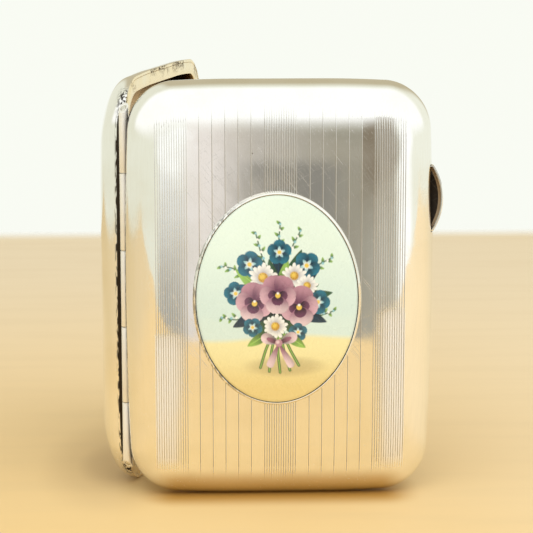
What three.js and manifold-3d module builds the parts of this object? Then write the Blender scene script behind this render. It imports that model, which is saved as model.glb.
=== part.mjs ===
// A pocket cigarette case: two cushion-shaped silver halves on a five-knuckle hinge.
// It stands ajar on one end, as it is drawn.
// Millimetres, +Z up. The front half faces -Y, the hinge is at -X and the thumb-piece at +X.
// The origin is on the floor, in the middle of the front half's foot.

import * as THREE from 'three';
import { mergeVertices } from 'three/addons/utils/BufferGeometryUtils.js';
import Module from 'manifold-3d';

const wasm = await Module();
wasm.setup();

// Both halves
const CASE_HEIGHT = 83; // over the two ends
const CASE_WIDTH = 60.8; // over the two long sides
const HALF_DEPTH = 7.6; // of one half, from the parting plane to the crown of its face
const CORNER_RADIUS = 8.9; // of the outline
const SIDE_BOW = 1.05; // how far the middle of a long side stands out past its corners
const END_BOW = 1; // the same for the two ends
const FOOT_FLAT = 18; // straight middle of each end, which the case stands on
const RIM_STRAIGHT = 0.8; // straight part of the wall beside the rim
const CROWN_POWER = 7; // a higher power makes a flatter face with tighter edges
const WALL = 0.6; // of the pressed covers
const PARTING_GAP = 0.3; // between the two rims when the case is shut
const SEAT_GAP = 0.15; // between pieces that are soldered or riveted together
const OPEN_ANGLE = 75; // degrees between the two rims as the case stands

// The flat frame inside each rim
const FRAME_WIDTH = 3; // from the outline to the frame's inner edge
const FRAME_THICKNESS = 0.8;

// The hinge
const HINGE_INSET = 0.1; // from the outline's widest point to the hinge axis
const HINGE_LENGTH = 73.6;
const END_KNUCKLE_LENGTH = 13.75; // the two end knuckles are shorter than the three between them
const KNUCKLE_DIAMETER = 1.9;
const KNUCKLE_COUNT = 5;
const PIN_DIAMETER = 0.9;
const PIN_CLEARANCE = 0.1; // radial, between pin and knuckle
const FILED_ANGLE = 44; // degrees, at which the hinge ends are filed off aslant
const FILED_TURN = 30; // degrees, by which that slant is turned from the front towards the hinge side

// The oval plaque on the front face
const PLAQUE_ACROSS = -0.7; // of its middle from the middle of the case
const PLAQUE_UP = -0.75; // the same, along the height
const BEZEL_HEIGHT = 42.3;
const BEZEL_WIDTH = 32.8;
const BEZEL_WALL = 0.55;
const BEZEL_RISE = 1; // above the face
const BEZEL_ROUND = 0.3; // height of its half-round top
const PLATE_THICKNESS = 0.5;
const ENAMEL_EDGE = 0.35; // thickness of the enamel at its edge
const ENAMEL_DOME = 0.95; // extra thickness in its middle

// The thumb-piece and its catch
const THUMB_HEIGHT = 59.6; // of its middle above the floor
const THUMB_LENGTH = 12.9;
const THUMB_PROUD = 1.9; // out of the side wall
const THUMB_THICKNESS = 2;
const THUMB_BEVEL = 0.25;
const SLOT_CLEARANCE = 0.25; // round the thumb-piece, in the side wall
const LEAF_WIDTH = 1.5;
const LEAF_THICKNESS = 0.4;
const LEAF_STANDOFF = 0.75; // from the side wall to the leaf
const LEAF_BEND_LENGTH = 24; // from the fixed foot up to the thumb-piece
const LEAF_END = 2.5; // length of the leaf past its foot
const FOOT_LENGTH = 5;
const HOOK_WIDTH = 3.5;
const HOOK_THICKNESS = 0.5;
const HOOK_CLEARANCE = 0.2; // between the hook and the edge of its notch
const HOOK_BITE = 0.35; // overlap of the hook's barb under the rear frame
const BARB_DEPTH = 0.6;
const RIVET_SPACING = 9;
const RIVET_DIAMETER = 0.6;
const RIVET_HEAD_DIAMETER = 1.1;
const RIVET_HEAD_HEIGHT = 0.35;
const RIVET_HOLD = 1; // length of the thumb rivets in the thumb-piece
const RIVET_CLEARANCE = 0.1;

// The strap in the rear half
const STRAP_WIDTH = 8;
const STRAP_THICKNESS = 0.5;
const KEEPER_WIRE = 0.8;
const KEEPER_BEND = 0.6;

// Fineness of the facets
const CORNER_STEPS = 6;
const SIDE_STEPS = 4;
const END_STEPS = 2;
const OUTER_CROWN_ANGLES = [86, 80, 73, 64, 54, 42, 28, 14, 0];
const INNER_CROWN_ANGLES = [0, 20, 40, 56, 70, 82];
const OVAL_STEPS = 56;
const BEZEL_ANGLES = [0, 45, 90, 135, 180];
const DOME_SHARES = [1, 0.9, 0.75, 0.5, 0.25];
const ROUND_STEPS = 24;
const WIRE_SIDES = 8;
const WIRE_STEPS = 24;

// Values that follow from the ones above
const FRONT = -1;
const REAR = 1;
const MID_HEIGHT = CASE_HEIGHT / 2;
const RIM_DEPTH = PARTING_GAP / 2;
const FRAME_BACK = RIM_DEPTH + FRAME_THICKNESS;
const FOOT_MIDDLE = (RIM_DEPTH + RIM_STRAIGHT) / 2;
const HINGE_X = HINGE_INSET - CASE_WIDTH / 2;
const KNUCKLE_RADIUS = KNUCKLE_DIAMETER / 2;
const GROOVE_RADIUS = KNUCKLE_RADIUS + SEAT_GAP;
const THUMB_OFFSET = THUMB_HEIGHT - MID_HEIGHT;
const LEAF_TOP = FRAME_BACK + 2 * SEAT_GAP;
const LEAF_BOTTOM = LEAF_TOP + LEAF_WIDTH;
const LEAF_MIDDLE = (LEAF_TOP + LEAF_BOTTOM) / 2;
const FOOT_OFFSET = THUMB_OFFSET - LEAF_BEND_LENGTH;
const LEAF_OUTER = wallInside(THUMB_OFFSET, LEAF_BOTTOM) - LEAF_STANDOFF;
const LEAF_INNER = LEAF_OUTER - LEAF_THICKNESS;
const HOOK_OUTER = LEAF_INNER - SEAT_GAP;
const NOTCH_EDGE = HOOK_OUTER + HOOK_CLEARANCE;
const THUMB_TOP = LEAF_MIDDLE - THUMB_THICKNESS / 2;

// Distance of a long side's outline from the middle of the case, at a height above or below its middle
function sideAt(height) {
  return CASE_WIDTH / 2 - SIDE_BOW * (height / MID_HEIGHT) ** 2;
}

// Share of the outline that is left at a depth below the parting plane
function crownShare(depth, fullDepth) {
  const rise = Math.max(0, depth - RIM_STRAIGHT) / (fullDepth - RIM_STRAIGHT);
  return (1 - rise ** 2) ** (1 / CROWN_POWER);
}

// Inner face of a long side's wall, at a height above or below the middle and a depth below the parting plane
function wallInside(height, depth) {
  const share = crownShare(depth, HALF_DEPTH - WALL);
  return share * (sideAt(height / share) - WALL);
}

// Outline of a half seen square on, drawn in by an inset: bowed sides, round corners and flat-footed ends
function outline(inset) {
  const halfWidth = CASE_WIDTH / 2 - inset;
  const halfHeight = CASE_HEIGHT / 2 - inset;
  const radius = CORNER_RADIUS - inset;
  const straightWidth = halfWidth - radius;
  const straightHeight = halfHeight - radius;
  const halfFoot = FOOT_FLAT / 2;
  const quarter = [];
  for (let step = 0; step < SIDE_STEPS; step += 1) {
    quarter.push([halfWidth, (straightHeight * step) / SIDE_STEPS]);
  }
  for (let step = 0; step <= CORNER_STEPS; step += 1) {
    const angle = (Math.PI / 2) * (step / CORNER_STEPS);
    quarter.push([straightWidth + radius * Math.cos(angle), straightHeight + radius * Math.sin(angle)]);
  }
  for (let step = 1; step <= END_STEPS; step += 1) {
    quarter.push([straightWidth + ((halfFoot - straightWidth) * step) / END_STEPS, halfHeight]);
  }
  const bowed = quarter.map(([x, height]) => {
    const along = height / halfHeight;
    const across = Math.max(0, x - halfFoot) / (halfWidth - halfFoot);
    return [x - (x / halfWidth) * SIDE_BOW * along ** 2, height - along * END_BOW * across ** 2];
  });
  const turned = [...bowed].reverse();
  return [
    ...bowed,
    ...turned.map(([x, height]) => [-x, height]),
    ...bowed.slice(1).map(([x, height]) => [-x, -height]),
    ...turned.slice(0, -1).map(([x, height]) => [x, -height]),
  ];
}

// An oval about the middle of the plaque
function oval(width, height) {
  const points = [];
  for (let step = 0; step < OVAL_STEPS; step += 1) {
    const angle = (2 * Math.PI * step) / OVAL_STEPS;
    points.push([
      PLAQUE_ACROSS + (width / 2) * Math.cos(angle),
      PLAQUE_UP + (height / 2) * Math.sin(angle),
    ]);
  }
  return points;
}

// A flat outline scaled about its middle and laid at a depth below the parting plane
function ring(points, side, depth, share = 1) {
  return points.map(([x, height]) => new THREE.Vector3(share * x, side * depth, share * height));
}

// Skin over a stack of rings. A joined stack runs on from its last ring to the first, others have flat ends
function loft(rings, joined = false) {
  const count = rings[0].length;
  const points = rings.flat();
  const triangles = [];
  const spans = joined ? rings.length : rings.length - 1;
  for (let span = 0; span < spans; span += 1) {
    const start = span * count;
    const next = ((span + 1) % rings.length) * count;
    for (let i = 0; i < count; i += 1) {
      const j = (i + 1) % count;
      triangles.push(start + i, start + j, next + j, start + i, next + j, next + i);
    }
  }
  if (!joined) {
    const last = (rings.length - 1) * count;
    const ends = [rings[0], rings[rings.length - 1]];
    const [first, final] = ends.map((end) => {
      const middle = new THREE.Vector3();
      end.forEach((point) => middle.addScaledVector(point, 1 / count));
      return points.push(middle) - 1;
    });
    for (let i = 0; i < count; i += 1) {
      const j = (i + 1) % count;
      triangles.push(first, j, i, final, last + i, last + j);
    }
  }
  const volume = triangles.reduce((sum, _, k) => {
    if (k % 3) return sum;
    const [a, b, c] = [points[triangles[k]], points[triangles[k + 1]], points[triangles[k + 2]]];
    return sum + a.dot(new THREE.Vector3().crossVectors(b, c));
  }, 0);
  const geometry = new THREE.BufferGeometry().setFromPoints(points);
  geometry.setIndex(volume > 0 ? triangles : triangles.reverse());
  return geometry;
}

// Solids for joining and cutting, and back to a geometry
function solid(geometry) {
  const bare = geometry.clone();
  bare.deleteAttribute('normal');
  bare.deleteAttribute('uv');
  const merged = mergeVertices(bare);
  const vertProperties = new Float32Array(merged.attributes.position.array);
  const triVerts = new Uint32Array(merged.index.array);
  return new wasm.Manifold(new wasm.Mesh({ numProp: 3, vertProperties, triVerts }));
}

function surface(body) {
  const { vertProperties, triVerts } = body.getMesh();
  const geometry = new THREE.BufferGeometry();
  geometry.setAttribute('position', new THREE.BufferAttribute(vertProperties, 3));
  geometry.setIndex(new THREE.BufferAttribute(triVerts, 1));
  geometry.computeVertexNormals();
  return geometry;
}

// A block between two corners
function block(from, to) {
  const size = to.map((value, axis) => Math.abs(value - from[axis]));
  const middle = to.map((value, axis) => (value + from[axis]) / 2);
  return new THREE.BoxGeometry(...size).translate(...middle);
}

// A flat shape drawn in x and y, drawn out along z between two heights
function upright(points, low, high) {
  const shape = new THREE.Shape(points.map(([x, y]) => new THREE.Vector2(x, y)));
  const settings = { depth: high - low, bevelEnabled: false, curveSegments: ROUND_STEPS };
  return new THREE.ExtrudeGeometry(shape, settings).translate(0, 0, low);
}

// A turned piece on the hinge's upright axis, from a profile of radii and heights
function turnedOnHinge(profile) {
  const points = profile.map(([radius, height]) => new THREE.Vector2(radius, height));
  return new THREE.LatheGeometry(points, ROUND_STEPS).rotateX(Math.PI / 2).translate(HINGE_X, 0, 0);
}

// The covers and frames

// The room that a half keeps free round the knuckles
function hingeGroove() {
  const end = HINGE_LENGTH / 2 + SEAT_GAP;
  return solid(turnedOnHinge([[0, -end], [GROOVE_RADIUS, -end], [GROOVE_RADIUS, end], [0, end]]));
}

// A pressed shell: outer crown, rim and inner crown in one skin, with the hinge groove cut out of its wall
function cover(side) {
  const crownRing = (points, fullDepth, degrees) => {
    const angle = THREE.MathUtils.degToRad(degrees);
    const depth = RIM_STRAIGHT + (fullDepth - RIM_STRAIGHT) * Math.sin(angle);
    return ring(points, side, depth, Math.cos(angle) ** (2 / CROWN_POWER));
  };
  const outside = outline(0);
  const inside = outline(WALL);
  const shell = loft([
    ...OUTER_CROWN_ANGLES.map((degrees) => crownRing(outside, HALF_DEPTH, degrees)),
    ring(outside, side, RIM_DEPTH),
    ring(inside, side, RIM_DEPTH),
    ...INNER_CROWN_ANGLES.map((degrees) => crownRing(inside, HALF_DEPTH - WALL, degrees)),
  ]);
  return solid(shell).subtract(hingeGroove());
}

// The way of the thumb-piece through the front cover's wall
function thumbSlot() {
  const reach = THUMB_LENGTH / 2 + SLOT_CLEARANCE;
  const shallow = THUMB_TOP - SLOT_CLEARANCE;
  const deep = THUMB_TOP + THUMB_THICKNESS + SLOT_CLEARANCE;
  return solid(block(
    [LEAF_OUTER, -deep, THUMB_OFFSET - reach],
    [CASE_WIDTH / 2 + THUMB_PROUD, -shallow, THUMB_OFFSET + reach],
  ));
}

// A flat frame inside the rim, with the hinge groove and a notch that the hook passes
function rimFrame(side) {
  const outside = outline(WALL + SEAT_GAP);
  const inside = outline(FRAME_WIDTH);
  const plate = loft([
    ring(outside, side, RIM_DEPTH),
    ring(outside, side, FRAME_BACK),
    ring(inside, side, FRAME_BACK),
    ring(inside, side, RIM_DEPTH),
  ], true);
  const reach = HOOK_WIDTH / 2 + HOOK_CLEARANCE;
  const notch = block(
    [NOTCH_EDGE - FRAME_WIDTH, 0, THUMB_OFFSET - reach],
    [NOTCH_EDGE, side * (FRAME_BACK + SEAT_GAP), THUMB_OFFSET + reach],
  );
  return solid(plate).subtract(hingeGroove()).subtract(solid(notch));
}

// The hinge

// Cuts the two ends of the hinge off aslant, so that their faces look to the front and the hinge side
function filed(body) {
  const size = HINGE_LENGTH;
  const angle = THREE.MathUtils.degToRad(FILED_ANGLE);
  const turn = THREE.MathUtils.degToRad(FILED_TURN);
  const middle = HINGE_LENGTH / 2 - KNUCKLE_RADIUS * Math.tan(angle);
  const over = new THREE.BoxGeometry(size, size, size).translate(0, 0, size / 2);
  const under = over.clone().translate(0, 0, -size);
  over.rotateX(angle).rotateZ(-turn).translate(HINGE_X, 0, middle);
  under.rotateX(-angle).rotateZ(-turn).translate(HINGE_X, 0, -middle);
  return body.subtract(solid(over)).subtract(solid(under));
}

// A tube of the hinge, counted from the bottom, a seat gap shorter at each end that meets the next
function knuckle(index) {
  const inner = (HINGE_LENGTH - 2 * END_KNUCKLE_LENGTH) / (KNUCKLE_COUNT - 2);
  const splitAt = (split) => {
    if (split === 0) return -HINGE_LENGTH / 2;
    if (split === KNUCKLE_COUNT) return HINGE_LENGTH / 2;
    return END_KNUCKLE_LENGTH + (split - 1) * inner - HINGE_LENGTH / 2;
  };
  const low = splitAt(index) + SEAT_GAP / 2;
  const high = splitAt(index + 1) - SEAT_GAP / 2;
  const bore = PIN_DIAMETER / 2 + PIN_CLEARANCE;
  const profile = [[bore, low], [KNUCKLE_RADIUS, low], [KNUCKLE_RADIUS, high], [bore, high], [bore, low]];
  return filed(solid(turnedOnHinge(profile)));
}

// The five tubes from the bottom up: the first, third and fifth belong to the front half
const [bottomTube, lowerTube, middleTube, upperTube, topTube] = [...Array(KNUCKLE_COUNT).keys()].map(knuckle);

function hingePin() {
  const end = HINGE_LENGTH / 2;
  const radius = PIN_DIAMETER / 2;
  return filed(solid(turnedOnHinge([[0, -end], [radius, -end], [radius, end], [0, end]])));
}

// The plaque

const PLAQUE_SEAT = HALF_DEPTH + SEAT_GAP;
const SETTING_WIDTH = BEZEL_WIDTH - 2 * BEZEL_WALL;
const SETTING_HEIGHT = BEZEL_HEIGHT - 2 * BEZEL_WALL;
const PLATE_WIDTH = SETTING_WIDTH - 2 * SEAT_GAP;
const PLATE_HEIGHT = SETTING_HEIGHT - 2 * SEAT_GAP;

// An oval rim round the enamel, with a half-round top
function plaqueBezel() {
  const spring = PLAQUE_SEAT + BEZEL_RISE - BEZEL_ROUND;
  const top = BEZEL_ANGLES.map((degrees) => {
    const angle = THREE.MathUtils.degToRad(degrees);
    const drawnIn = BEZEL_WALL * (1 - Math.cos(angle));
    const edge = oval(BEZEL_WIDTH - drawnIn, BEZEL_HEIGHT - drawnIn);
    return ring(edge, FRONT, spring + BEZEL_ROUND * Math.sin(angle));
  });
  return solid(loft([
    ring(oval(BEZEL_WIDTH, BEZEL_HEIGHT), FRONT, PLAQUE_SEAT),
    ...top,
    ring(oval(SETTING_WIDTH, SETTING_HEIGHT), FRONT, PLAQUE_SEAT),
  ], true));
}

function plaquePlate() {
  const edge = oval(PLATE_WIDTH, PLATE_HEIGHT);
  const back = ring(edge, FRONT, PLAQUE_SEAT);
  const face = ring(edge, FRONT, PLAQUE_SEAT + PLATE_THICKNESS);
  return solid(loft([back, face]));
}

// The enamel: a straight edge and a shallow dome
function enamelFace() {
  const back = PLAQUE_SEAT + PLATE_THICKNESS + SEAT_GAP;
  const dome = DOME_SHARES.map((share) => {
    const rise = ENAMEL_EDGE + ENAMEL_DOME * (1 - share ** 2);
    return ring(oval(share * PLATE_WIDTH, share * PLATE_HEIGHT), FRONT, back + rise);
  });
  return solid(loft([ring(oval(PLATE_WIDTH, PLATE_HEIGHT), FRONT, back), ...dome]));
}

// The catch

// A half-moon with a straight shank that passes the side wall and ends at the leaf
function thumbPiece() {
  const half = THUMB_LENGTH / 2;
  const base = sideAt(THUMB_OFFSET);
  const tail = LEAF_OUTER + SEAT_GAP;
  const radius = (half ** 2 + THUMB_PROUD ** 2) / (2 * THUMB_PROUD);
  const middle = base + THUMB_PROUD - radius;
  const halfAngle = Math.asin(half / radius);
  const shape = new THREE.Shape();
  shape.moveTo(tail, -half);
  shape.lineTo(base, -half);
  shape.absarc(middle, 0, radius, -halfAngle, halfAngle);
  shape.lineTo(tail, half);
  shape.closePath();
  const geometry = new THREE.ExtrudeGeometry(shape, {
    depth: THUMB_THICKNESS - 2 * THUMB_BEVEL,
    bevelSize: THUMB_BEVEL,
    bevelThickness: THUMB_BEVEL,
    bevelOffset: -THUMB_BEVEL,
    bevelSegments: 2,
    curveSegments: ROUND_STEPS,
  });
  geometry.rotateX(Math.PI / 2).translate(0, -THUMB_TOP - THUMB_BEVEL, THUMB_OFFSET);
  return rivetHeights.reduce(
    (body, height) => body.subtract(solid(rivetHole(height, tail + RIVET_HOLD + RIVET_CLEARANCE))),
    solid(geometry),
  );
}

const rivetHeights = [THUMB_OFFSET + RIVET_SPACING / 2, THUMB_OFFSET - RIVET_SPACING / 2];

// Turned pieces that lie along X at the leaf's middle depth
function turnedAcross(profile, height) {
  const points = profile.map(([radius, x]) => new THREE.Vector2(radius, -x));
  const geometry = new THREE.LatheGeometry(points.reverse(), ROUND_STEPS / 2);
  return geometry.rotateZ(Math.PI / 2).translate(0, -LEAF_MIDDLE, height);
}

// A hole for a rivet, from inside the leaf out to the given distance
function rivetHole(height, end) {
  const radius = RIVET_DIAMETER / 2 + RIVET_CLEARANCE;
  const start = LEAF_INNER - LEAF_THICKNESS;
  return turnedAcross([[0, start], [radius, start], [radius, end], [0, end]], height);
}

// A rivet with its head on the leaf's inner face
function rivet(height, end) {
  const radius = RIVET_DIAMETER / 2;
  const headRadius = RIVET_HEAD_DIAMETER / 2;
  const seat = LEAF_INNER - RIVET_CLEARANCE;
  const top = seat - RIVET_HEAD_HEIGHT;
  const head = [[0, top], [headRadius / 2, top], [headRadius, seat]];
  const shank = [[radius, seat], [radius, end], [0, end]];
  return solid(turnedAcross([...head, ...shank], height));
}

// A leaf along the side wall, holed for its rivets
function catchSpring() {
  const low = FOOT_OFFSET - FOOT_LENGTH / 2 - LEAF_END;
  const high = THUMB_OFFSET + THUMB_LENGTH / 2;
  const leaf = block([LEAF_INNER, -LEAF_BOTTOM, low], [LEAF_OUTER, -LEAF_TOP, high]);
  return [...rivetHeights, FOOT_OFFSET].reduce(
    (body, height) => body.subtract(solid(rivetHole(height, LEAF_OUTER + LEAF_THICKNESS))),
    solid(leaf),
  );
}

const SPRING_FOOT_OUTER = wallInside(FOOT_OFFSET, LEAF_BOTTOM) - SEAT_GAP;

function springFoot() {
  const low = FOOT_OFFSET - FOOT_LENGTH / 2;
  const high = FOOT_OFFSET + FOOT_LENGTH / 2;
  const foot = block([LEAF_OUTER + SEAT_GAP, -LEAF_BOTTOM, low], [SPRING_FOOT_OUTER, -LEAF_TOP, high]);
  return solid(foot).subtract(solid(rivetHole(FOOT_OFFSET, SPRING_FOOT_OUTER + WALL)));
}

// A flat hook: its shank lies on the leaf, and its barb stands past the parting plane, under the rear frame
function catchHook() {
  const inner = HOOK_OUTER - HOOK_THICKNESS;
  const barb = FRAME_BACK + HOOK_CLEARANCE;
  const profile = [
    [inner, -LEAF_BOTTOM],
    [HOOK_OUTER, -LEAF_BOTTOM],
    [HOOK_OUTER, barb],
    [NOTCH_EDGE + HOOK_BITE, barb],
    [HOOK_OUTER, barb + BARB_DEPTH],
    [inner, barb + BARB_DEPTH],
  ];
  return solid(upright(profile, THUMB_OFFSET - HOOK_WIDTH / 2, THUMB_OFFSET + HOOK_WIDTH / 2));
}

// The strap and its keepers, in the rear half

const LOOP_BORE = KEEPER_WIRE / 2 + SEAT_GAP;
const LOOP_RADIUS = LOOP_BORE + STRAP_THICKNESS;
const KEEPER_DEPTH = FRAME_BACK + SEAT_GAP + LOOP_RADIUS;
const KEEPER_X = wallInside(0, KEEPER_DEPTH + LOOP_RADIUS) - SEAT_GAP - LOOP_RADIUS;
const KEEPER_REACH = STRAP_WIDTH / 2 + KEEPER_WIRE / 2 + KEEPER_BEND;

// A wire staple: a bar for the strap's loop, with both legs bent out to the side wall
function strapKeeper(end) {
  const wall = end * (wallInside(KEEPER_REACH, KEEPER_DEPTH + KEEPER_WIRE / 2) - SEAT_GAP);
  const bar = end * KEEPER_X;
  const bend = end * KEEPER_BEND;
  const at = (x, height) => new THREE.Vector3(x, KEEPER_DEPTH, height);
  const straight = KEEPER_REACH - KEEPER_BEND;
  const legs = [KEEPER_REACH, -KEEPER_REACH].map((reach) => at(bar + bend, reach));
  const corners = [KEEPER_REACH, -KEEPER_REACH].map((reach) => at(bar, reach));
  const path = new THREE.CurvePath();
  path.add(new THREE.LineCurve3(at(wall, KEEPER_REACH), legs[0]));
  path.add(new THREE.QuadraticBezierCurve3(legs[0], corners[0], at(bar, straight)));
  path.add(new THREE.LineCurve3(at(bar, straight), at(bar, -straight)));
  path.add(new THREE.QuadraticBezierCurve3(at(bar, -straight), corners[1], legs[1]));
  path.add(new THREE.LineCurve3(legs[1], at(wall, -KEEPER_REACH)));
  const section = new THREE.Shape().absarc(0, 0, KEEPER_WIRE / 2, 0, 2 * Math.PI);
  const settings = { extrudePath: path, steps: WIRE_STEPS, curveSegments: WIRE_SIDES / 2 };
  return solid(new THREE.ExtrudeGeometry(section, settings));
}

// A flat band with a sewn loop at each end, round the bars of the keepers
function elasticStrap() {
  const near = KEEPER_DEPTH - LOOP_RADIUS;
  const shape = new THREE.Shape();
  const far = near + STRAP_THICKNESS;
  const meet = Math.sqrt(LOOP_RADIUS ** 2 - (KEEPER_DEPTH - far) ** 2);
  const meetAngle = Math.asin((KEEPER_DEPTH - far) / LOOP_RADIUS);
  shape.moveTo(-KEEPER_X, near);
  shape.lineTo(KEEPER_X, near);
  shape.absarc(KEEPER_X, KEEPER_DEPTH, LOOP_RADIUS, -Math.PI / 2, Math.PI + meetAngle);
  shape.lineTo(meet - KEEPER_X, far);
  shape.absarc(-KEEPER_X, KEEPER_DEPTH, LOOP_RADIUS, -meetAngle, (3 * Math.PI) / 2);
  const holes = [KEEPER_X, -KEEPER_X].map((x) => {
    return new THREE.Path().absarc(x, KEEPER_DEPTH, LOOP_BORE, 0, 2 * Math.PI, true);
  });
  shape.holes.push(...holes);
  const settings = { depth: STRAP_WIDTH, bevelEnabled: false, curveSegments: ROUND_STEPS / 2 };
  return solid(new THREE.ExtrudeGeometry(shape, settings).translate(0, 0, -STRAP_WIDTH / 2));
}

// Materials, each piece with its own

const SILVER = { color: 0xd9d5cc, roughness: 0.2, metalness: 1 };
const WORN_SILVER = { color: 0xc9c4b8, roughness: 0.3, metalness: 1 };
const GILT = { color: 0xe0c48a, roughness: 0.25, metalness: 1 };
const COPPER = { color: 0xb5714c, roughness: 0.4, metalness: 1 };
const STEEL = { color: 0x8f9092, roughness: 0.35, metalness: 1 };
const ENAMEL = { color: 0xdfe8c8, roughness: 0.12, metalness: 0 };
const ELASTIC = { color: 0xb59a6a, roughness: 0.85, metalness: 0 };

function piece(name, body, finish) {
  const mesh = new THREE.Mesh(surface(body), new THREE.MeshStandardMaterial(finish));
  mesh.name = name;
  return mesh;
}

const frontHalf = new THREE.Group();
frontHalf.add(
  piece('front_cover', cover(FRONT).subtract(thumbSlot()), SILVER),
  piece('front_rim_frame', rimFrame(FRONT), GILT),
  piece('front_knuckle_bottom', bottomTube, SILVER),
  piece('front_knuckle_middle', middleTube, SILVER),
  piece('front_knuckle_top', topTube, SILVER),
  piece('hinge_pin', hingePin(), WORN_SILVER),
  piece('plaque_bezel', plaqueBezel(), SILVER),
  piece('plaque_plate', plaquePlate(), COPPER),
  piece('enamel_face', enamelFace(), ENAMEL),
  piece('spring_foot', springFoot(), WORN_SILVER),
  piece('spring_rivet', rivet(FOOT_OFFSET, SPRING_FOOT_OUTER), STEEL),
);

const thumbCatch = new THREE.Group();
thumbCatch.add(
  piece('thumb_piece', thumbPiece(), SILVER),
  piece('catch_spring', catchSpring(), STEEL),
  piece('catch_hook', catchHook(), STEEL),
  piece('thumb_rivet_upper', rivet(rivetHeights[0], LEAF_OUTER + SEAT_GAP + RIVET_HOLD), STEEL),
  piece('thumb_rivet_lower', rivet(rivetHeights[1], LEAF_OUTER + SEAT_GAP + RIVET_HOLD), STEEL),
);

const rearHalf = new THREE.Group();
rearHalf.add(
  piece('rear_cover', cover(REAR), SILVER),
  piece('rear_rim_frame', rimFrame(REAR), GILT),
  piece('rear_knuckle_lower', lowerTube, SILVER),
  piece('rear_knuckle_upper', upperTube, SILVER),
  piece('strap_keeper_hinge_side', strapKeeper(-1), WORN_SILVER),
  piece('strap_keeper_clasp_side', strapKeeper(1), WORN_SILVER),
  piece('elastic_strap', elasticStrap(), ELASTIC),
);

// The rear half is drawn shut, then swung open about the hinge axis
rearHalf.position.x = -HINGE_X;
const swing = new THREE.Group();
swing.add(rearHalf);
swing.position.x = HINGE_X;
swing.rotation.z = THREE.MathUtils.degToRad(OPEN_ANGLE);

const cigaretteCase = new THREE.Group();
cigaretteCase.add(frontHalf, thumbCatch, swing);
cigaretteCase.position.set(0, FOOT_MIDDLE, MID_HEIGHT);

export default cigaretteCase;
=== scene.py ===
# %% [markdown]
# A pocket cigarette case: two pressed silver halves on a side hinge, standing ajar on one end.
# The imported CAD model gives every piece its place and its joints. It is loaded first and never changed.
# The pieces made here are finer versions of its solids, and each one says which node it stands for.

# %% Load the frame
import math

import bmesh
import bpy
import numpy as np
from mathutils import Matrix, Vector


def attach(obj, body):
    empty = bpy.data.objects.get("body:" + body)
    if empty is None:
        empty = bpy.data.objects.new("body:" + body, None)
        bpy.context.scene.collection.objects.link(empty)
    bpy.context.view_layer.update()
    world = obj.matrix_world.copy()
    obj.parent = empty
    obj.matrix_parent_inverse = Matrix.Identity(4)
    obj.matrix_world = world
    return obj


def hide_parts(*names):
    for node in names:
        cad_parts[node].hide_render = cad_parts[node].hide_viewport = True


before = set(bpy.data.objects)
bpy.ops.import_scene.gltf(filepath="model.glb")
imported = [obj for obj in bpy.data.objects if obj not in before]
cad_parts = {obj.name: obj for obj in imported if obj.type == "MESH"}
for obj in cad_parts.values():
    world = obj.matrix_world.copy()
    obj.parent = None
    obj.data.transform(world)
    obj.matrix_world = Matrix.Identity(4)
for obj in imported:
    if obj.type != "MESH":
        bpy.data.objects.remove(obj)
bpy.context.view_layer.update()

MM = 0.001
MERGE = 1e-7  # points closer than this are one point
SQUARE = 1.2  # an edge that turns by more radians than this is a square one
SLICE = 1e-8  # how near to a cutting plane a point counts as on it

# %% [markdown]
# Operators act on whatever is selected, so every step starts by putting everything down and picking up one
# piece. Faces and edges are chosen by their place, which keeps working when a size changes.

# %% Hand tools
def put_down():
    """Leave edit mode and let go of everything."""
    if bpy.context.object and bpy.context.object.mode != "OBJECT":
        bpy.ops.object.mode_set(mode="OBJECT")
    bpy.ops.object.select_all(action="DESELECT")


def pick_up(*pieces):
    """Select these pieces alone, the first one active."""
    put_down()
    for piece in pieces:
        piece.select_set(True)
    bpy.context.view_layer.objects.active = pieces[0]


def edit(piece, kind="VERT"):
    """Open one piece in edit mode, with all of it selected."""
    pick_up(piece)
    bpy.ops.object.mode_set(mode="EDIT")
    bpy.ops.mesh.select_mode(type=kind)
    bpy.ops.mesh.select_all(action="SELECT")


def choose(piece, kind, test):
    """In edit mode, select the vertices, edges or faces that pass a test."""
    bpy.ops.mesh.select_mode(type=kind)
    bpy.ops.mesh.select_all(action="DESELECT")
    cage = bmesh.from_edit_mesh(piece.data)
    for part in {"VERT": cage.verts, "EDGE": cage.edges, "FACE": cage.faces}[kind]:
        if test(part):
            part.select_set(True)
    bmesh.update_edit_mesh(piece.data)


def shaped(piece, kind, **settings):
    """Put a modifier on a piece, set it and apply it."""
    pick_up(piece)
    tool = piece.modifiers.new(kind.lower(), kind)
    for key, value in settings.items():
        setattr(tool, key, value)
    bpy.ops.object.modifier_apply(modifier=tool.name)


def cut(piece, cutter):
    """Take a cutter's volume out of a piece."""
    shaped(piece, "BOOLEAN", operation="DIFFERENCE", solver="EXACT", object=cutter)
    bpy.data.objects.remove(cutter)


def settle(piece):
    """Put a piece's turn, place and size into its mesh."""
    pick_up(piece)
    bpy.ops.object.transform_apply(location=True, rotation=True, scale=True)


def face_out(piece):
    """Turn every face of a piece to look outwards."""
    edit(piece)
    bpy.ops.mesh.normals_make_consistent(inside=False)
    put_down()


def points_of(piece):
    """The places of a piece's points, one row each."""
    spots = np.empty(len(piece.data.vertices) * 3)
    piece.data.vertices.foreach_get("co", spots)
    return spots.reshape(-1, 3)


def put_points(piece, spots):
    piece.data.vertices.foreach_set("co", spots.ravel())
    piece.data.update()


def mark(piece, name, values):
    """Keep a value from 0 to 1 on each point, for a finish to read."""
    piece.data.attributes.new(name, "FLOAT", "POINT").data.foreach_set("value", values)


def ease(value, low, high):
    """A soft step from 0 to 1 between two values."""
    t = np.clip((value - low) / (high - low), 0, 1)
    return t * t * (3 - 2 * t)


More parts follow.
